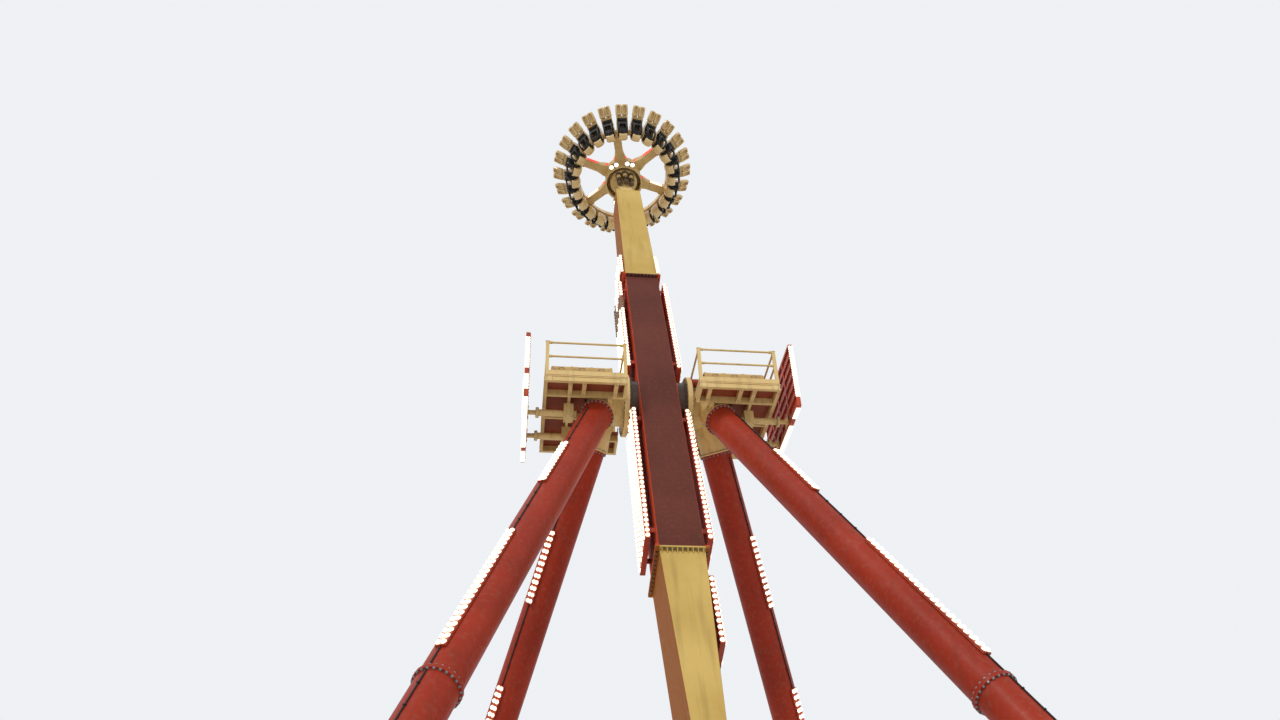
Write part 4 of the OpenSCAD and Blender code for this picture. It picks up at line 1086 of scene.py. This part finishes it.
# Arm boards: a folded rim round each board
def board_rim(side, board):
    """Strips that frame a board's outer face."""
    low, high = sorted((board.near, board.far))
    skin, lip, half, wide = board.outer - 0.002, board.outer + 0.008, board.half, 0.035
    parts = []
    for end in (-1, 1):
        parts.append(block((skin, end * half, low), (lip, end * (half - wide), high), 0.003))
    for z, inner in ((low, low + wide), (high, high - wide)):
        parts.append(block((skin, -half, z), (lip, half, inner), 0.003))
    return put(join(parts), ARM @ mirrored(side))


for side, name in SIDES:
    finish(join([board_rim(side, board) for board in BOARDS[side]]), "board_rims_" + name, "panel_red", "arm")

# Arm: butt welds across the plates, hatches and a cable trunk on the rear face
parts = [tube([(-MID_SIDE + 0.057 * k, ARM_REAR + 0.003, s) for k in range(21)], 0.006)
         for s in (-4.7, -2.35, 2.35, 4.7)]
finish(put(join(parts), ARM), "arm_welds", "arm_red", "arm")
parts = [block((-0.09, ARM_REAR, -6.6), (0.09, 0.83, -1.1), 0.01),
         block((-0.09, ARM_REAR, 1.1), (0.09, 0.83, 6.6), 0.01)]
for s in (-5.6, 5.6):
    for side in (1, -1):
        parts.append(block((side * 0.18, ARM_REAR, s - 0.3), (side * 0.5, 0.79, s + 0.3), 0.01))
finish(put(join(parts), ARM), "arm_trunk", "arm_red", "arm")

# Spin drive: finned motors, gearbox flanges, terminal boxes and rings round the neck
fin = turned([(0.094, -0.003), (0.108, -0.003), (0.108, 0.003), (0.094, 0.003)], 24)
cowl = turned([(0.096, 0), (0.108, 0.012), (0.108, 0.07), (0.09, 0.09), (0.03, 0.092)], 24)
gearbox = turned([(0.14, 0), (0.14, 0.03), (0.12, 0.035), (0.12, 0.12), (0.14, 0.13), (0.14, 0.15)], 20)
motor = join([row(fin, 14, (0, 0, 0.032)), put(cowl, turn(180, "X")), put(gearbox, shift(0, 0, 0.74)),
              block((0.06, -0.06, 0.16), (0.15, 0.06, 0.34), 0.01)])
places = [ARM @ turn(angle, "Z") @ shift(0.47, 0, 16.35) for angle in (-125, -90, -55)]
# The motors' dark brown is painted shade
finish(spread(motor, places), "spin_motor_fins", "machined_steel", "arm", look="shaded_drive_brown")
parts = [block((-0.22, -0.35, 15.55), (0.22, -0.27, 15.95), 0.012),
         block((-0.2, 0.27, 15.5), (0.2, 0.36, 16.3), 0.012),
         block((0.27, -0.2, 15.6), (0.37, 0.2, 16.2), 0.012),
         block((-0.37, -0.2, 15.6), (-0.27, 0.2, 16.2), 0.012),
         put(turned([(0.585, 0), (0.6, 0.006), (0.6, 0.05), (0.585, 0.056)], 48), shift(0, 0, 17.3)),
         put(turned([(0.6, 0), (0.62, 0.01), (0.62, 0.07), (0.6, 0.08)], 48), shift(0, 0, 17.6))]
finish(put(join(parts), ARM), "spin_drive_boxes", "cream_paint", "arm")

# Gondola hub: skirt bolts, far cover, floodlights in pairs
FLOODLIGHT_ANGLES = (237.5, 281.0, 57.5, 101.0)
parts = [put(bolt_ring(24, 0.68, small_bolt), shift(0, 0, 18.46)),
         put(turned([(0.60, 0), (0.60, 0.012), (0.57, 0.02), (0.30, 0.024), (0.28, 0.034)], 40),
             shift(0, 0, 18.458))]
finish(put(join(parts), ARM), "hub_cover", "galvanised", "gondola")
housing = join([turned([(0.05, 0), (0.09, 0.02), (0.105, 0.10), (0.11, 0.14)], 16),
                turned([(0.11, 0.138), (0.118, 0.142), (0.118, 0.16), (0.104, 0.162)], 16),
                block((-0.02, -0.02, -0.16), (0.02, 0.02, 0.01), 0.004)])
glass = turned([(0.10, 0.158), (0.098, 0.166), (0.06, 0.176), (0.02, 0.18)], 16)
places = [ARM @ turn(angle, "Z") @ shift(0.955, across, 17.33) @ turn(180, "X")
          for angle in FLOODLIGHT_ANGLES for across in (-0.12, 0.12)]
finish(spread(housing, places), "floodlight_bodies", "galvanised", "gondola")
finish(spread(glass, places), "floodlight_lenses", "lamp_lens", "gondola")
bracket = block((-0.16, -0.2, -0.02), (0.0, 0.2, 0.02), 0.006)
places = [ARM @ turn(angle, "Z") @ shift(0.965, 0, 17.48) for angle in FLOODLIGHT_ANGLES]
finish(spread(bracket, places), "floodlight_brackets", "cream_paint", "gondola")

# Spokes: lamp strips on their side faces, lamps at their roots, bolted plates at both ends
RED_SPOKES = (1, 5)
UNLIT_SPOKE = 0
strip = row(twin(small_lamp, turn(-90, "X")), 7, (0.087, 0, 0))
plain_strips = []
red_strips = []
root_lamps = []
plates = []
bolts = []
for k in range(6):
    spoke = ARM @ turn(SPOKE_FIRST + 60 * k, "Z") @ shift(0, 0, RING_S)
    gap = ARM @ turn(SPOKE_FIRST + 60 * k + 30, "Z") @ shift(0, 0, RING_S)
    for end in (-1, 1):
        half = spoke @ mirrored(1, end)
        if k != UNLIT_SPOKE:
            target = red_strips if k in RED_SPOKES else plain_strips
            target += [twin(strip, half @ shift(1.32, 0.17, z)) for z in (-0.06, 0.06)]
        root_lamps.append(twin(lamp, half @ shift(0.86, 0.242, 0) @ turn(-90, "X")))
        plates.append(put(block((1.22, 0.168, -0.11), (1.90, 0.176, 0.11), 0.003), half))
        for x in (0.90, 0.97):
            bolts += [half @ shift(x, 0.225 - 0.22 * (x - 0.86), z) @ turn(-90, "X") for z in (-0.12, 0.12)]
    for face in (-1, 1):
        lay = spoke @ mirrored(1, 1, face)
        plates.append(put(block((1.80, -0.2, 0.132), (2.12, 0.2, 0.146), 0.004), lay))
        bolts += [lay @ shift(x, y, 0.146) for x in (1.85, 2.0, 2.07) for y in (-0.15, -0.05, 0.05, 0.15)]
        lay = gap @ mirrored(1, 1, face)
        plates.append(put(block((1.965, -0.16, 0.13), (2.115, 0.16, 0.142), 0.004), lay))
        bolts += [lay @ shift(x, y, 0.142) for x in (2.0, 2.08) for y in (-0.12, -0.05, 0.05, 0.12)]
drop(strip)
finish(join(plain_strips), "spoke_lamps", "lamp_lens", "gondola")
finish(join(red_strips + root_lamps), "spoke_lamps_red", "lamp_lens", "gondola", look="red_lens")
finish(join(plates), "gondola_plates", "cream_paint", "gondola")
finish(spread(small_bolt, bolts, False), "gondola_bolts", "machined_steel", "gondola")
drop(lamp, small_lamp, bolt, small_bolt)
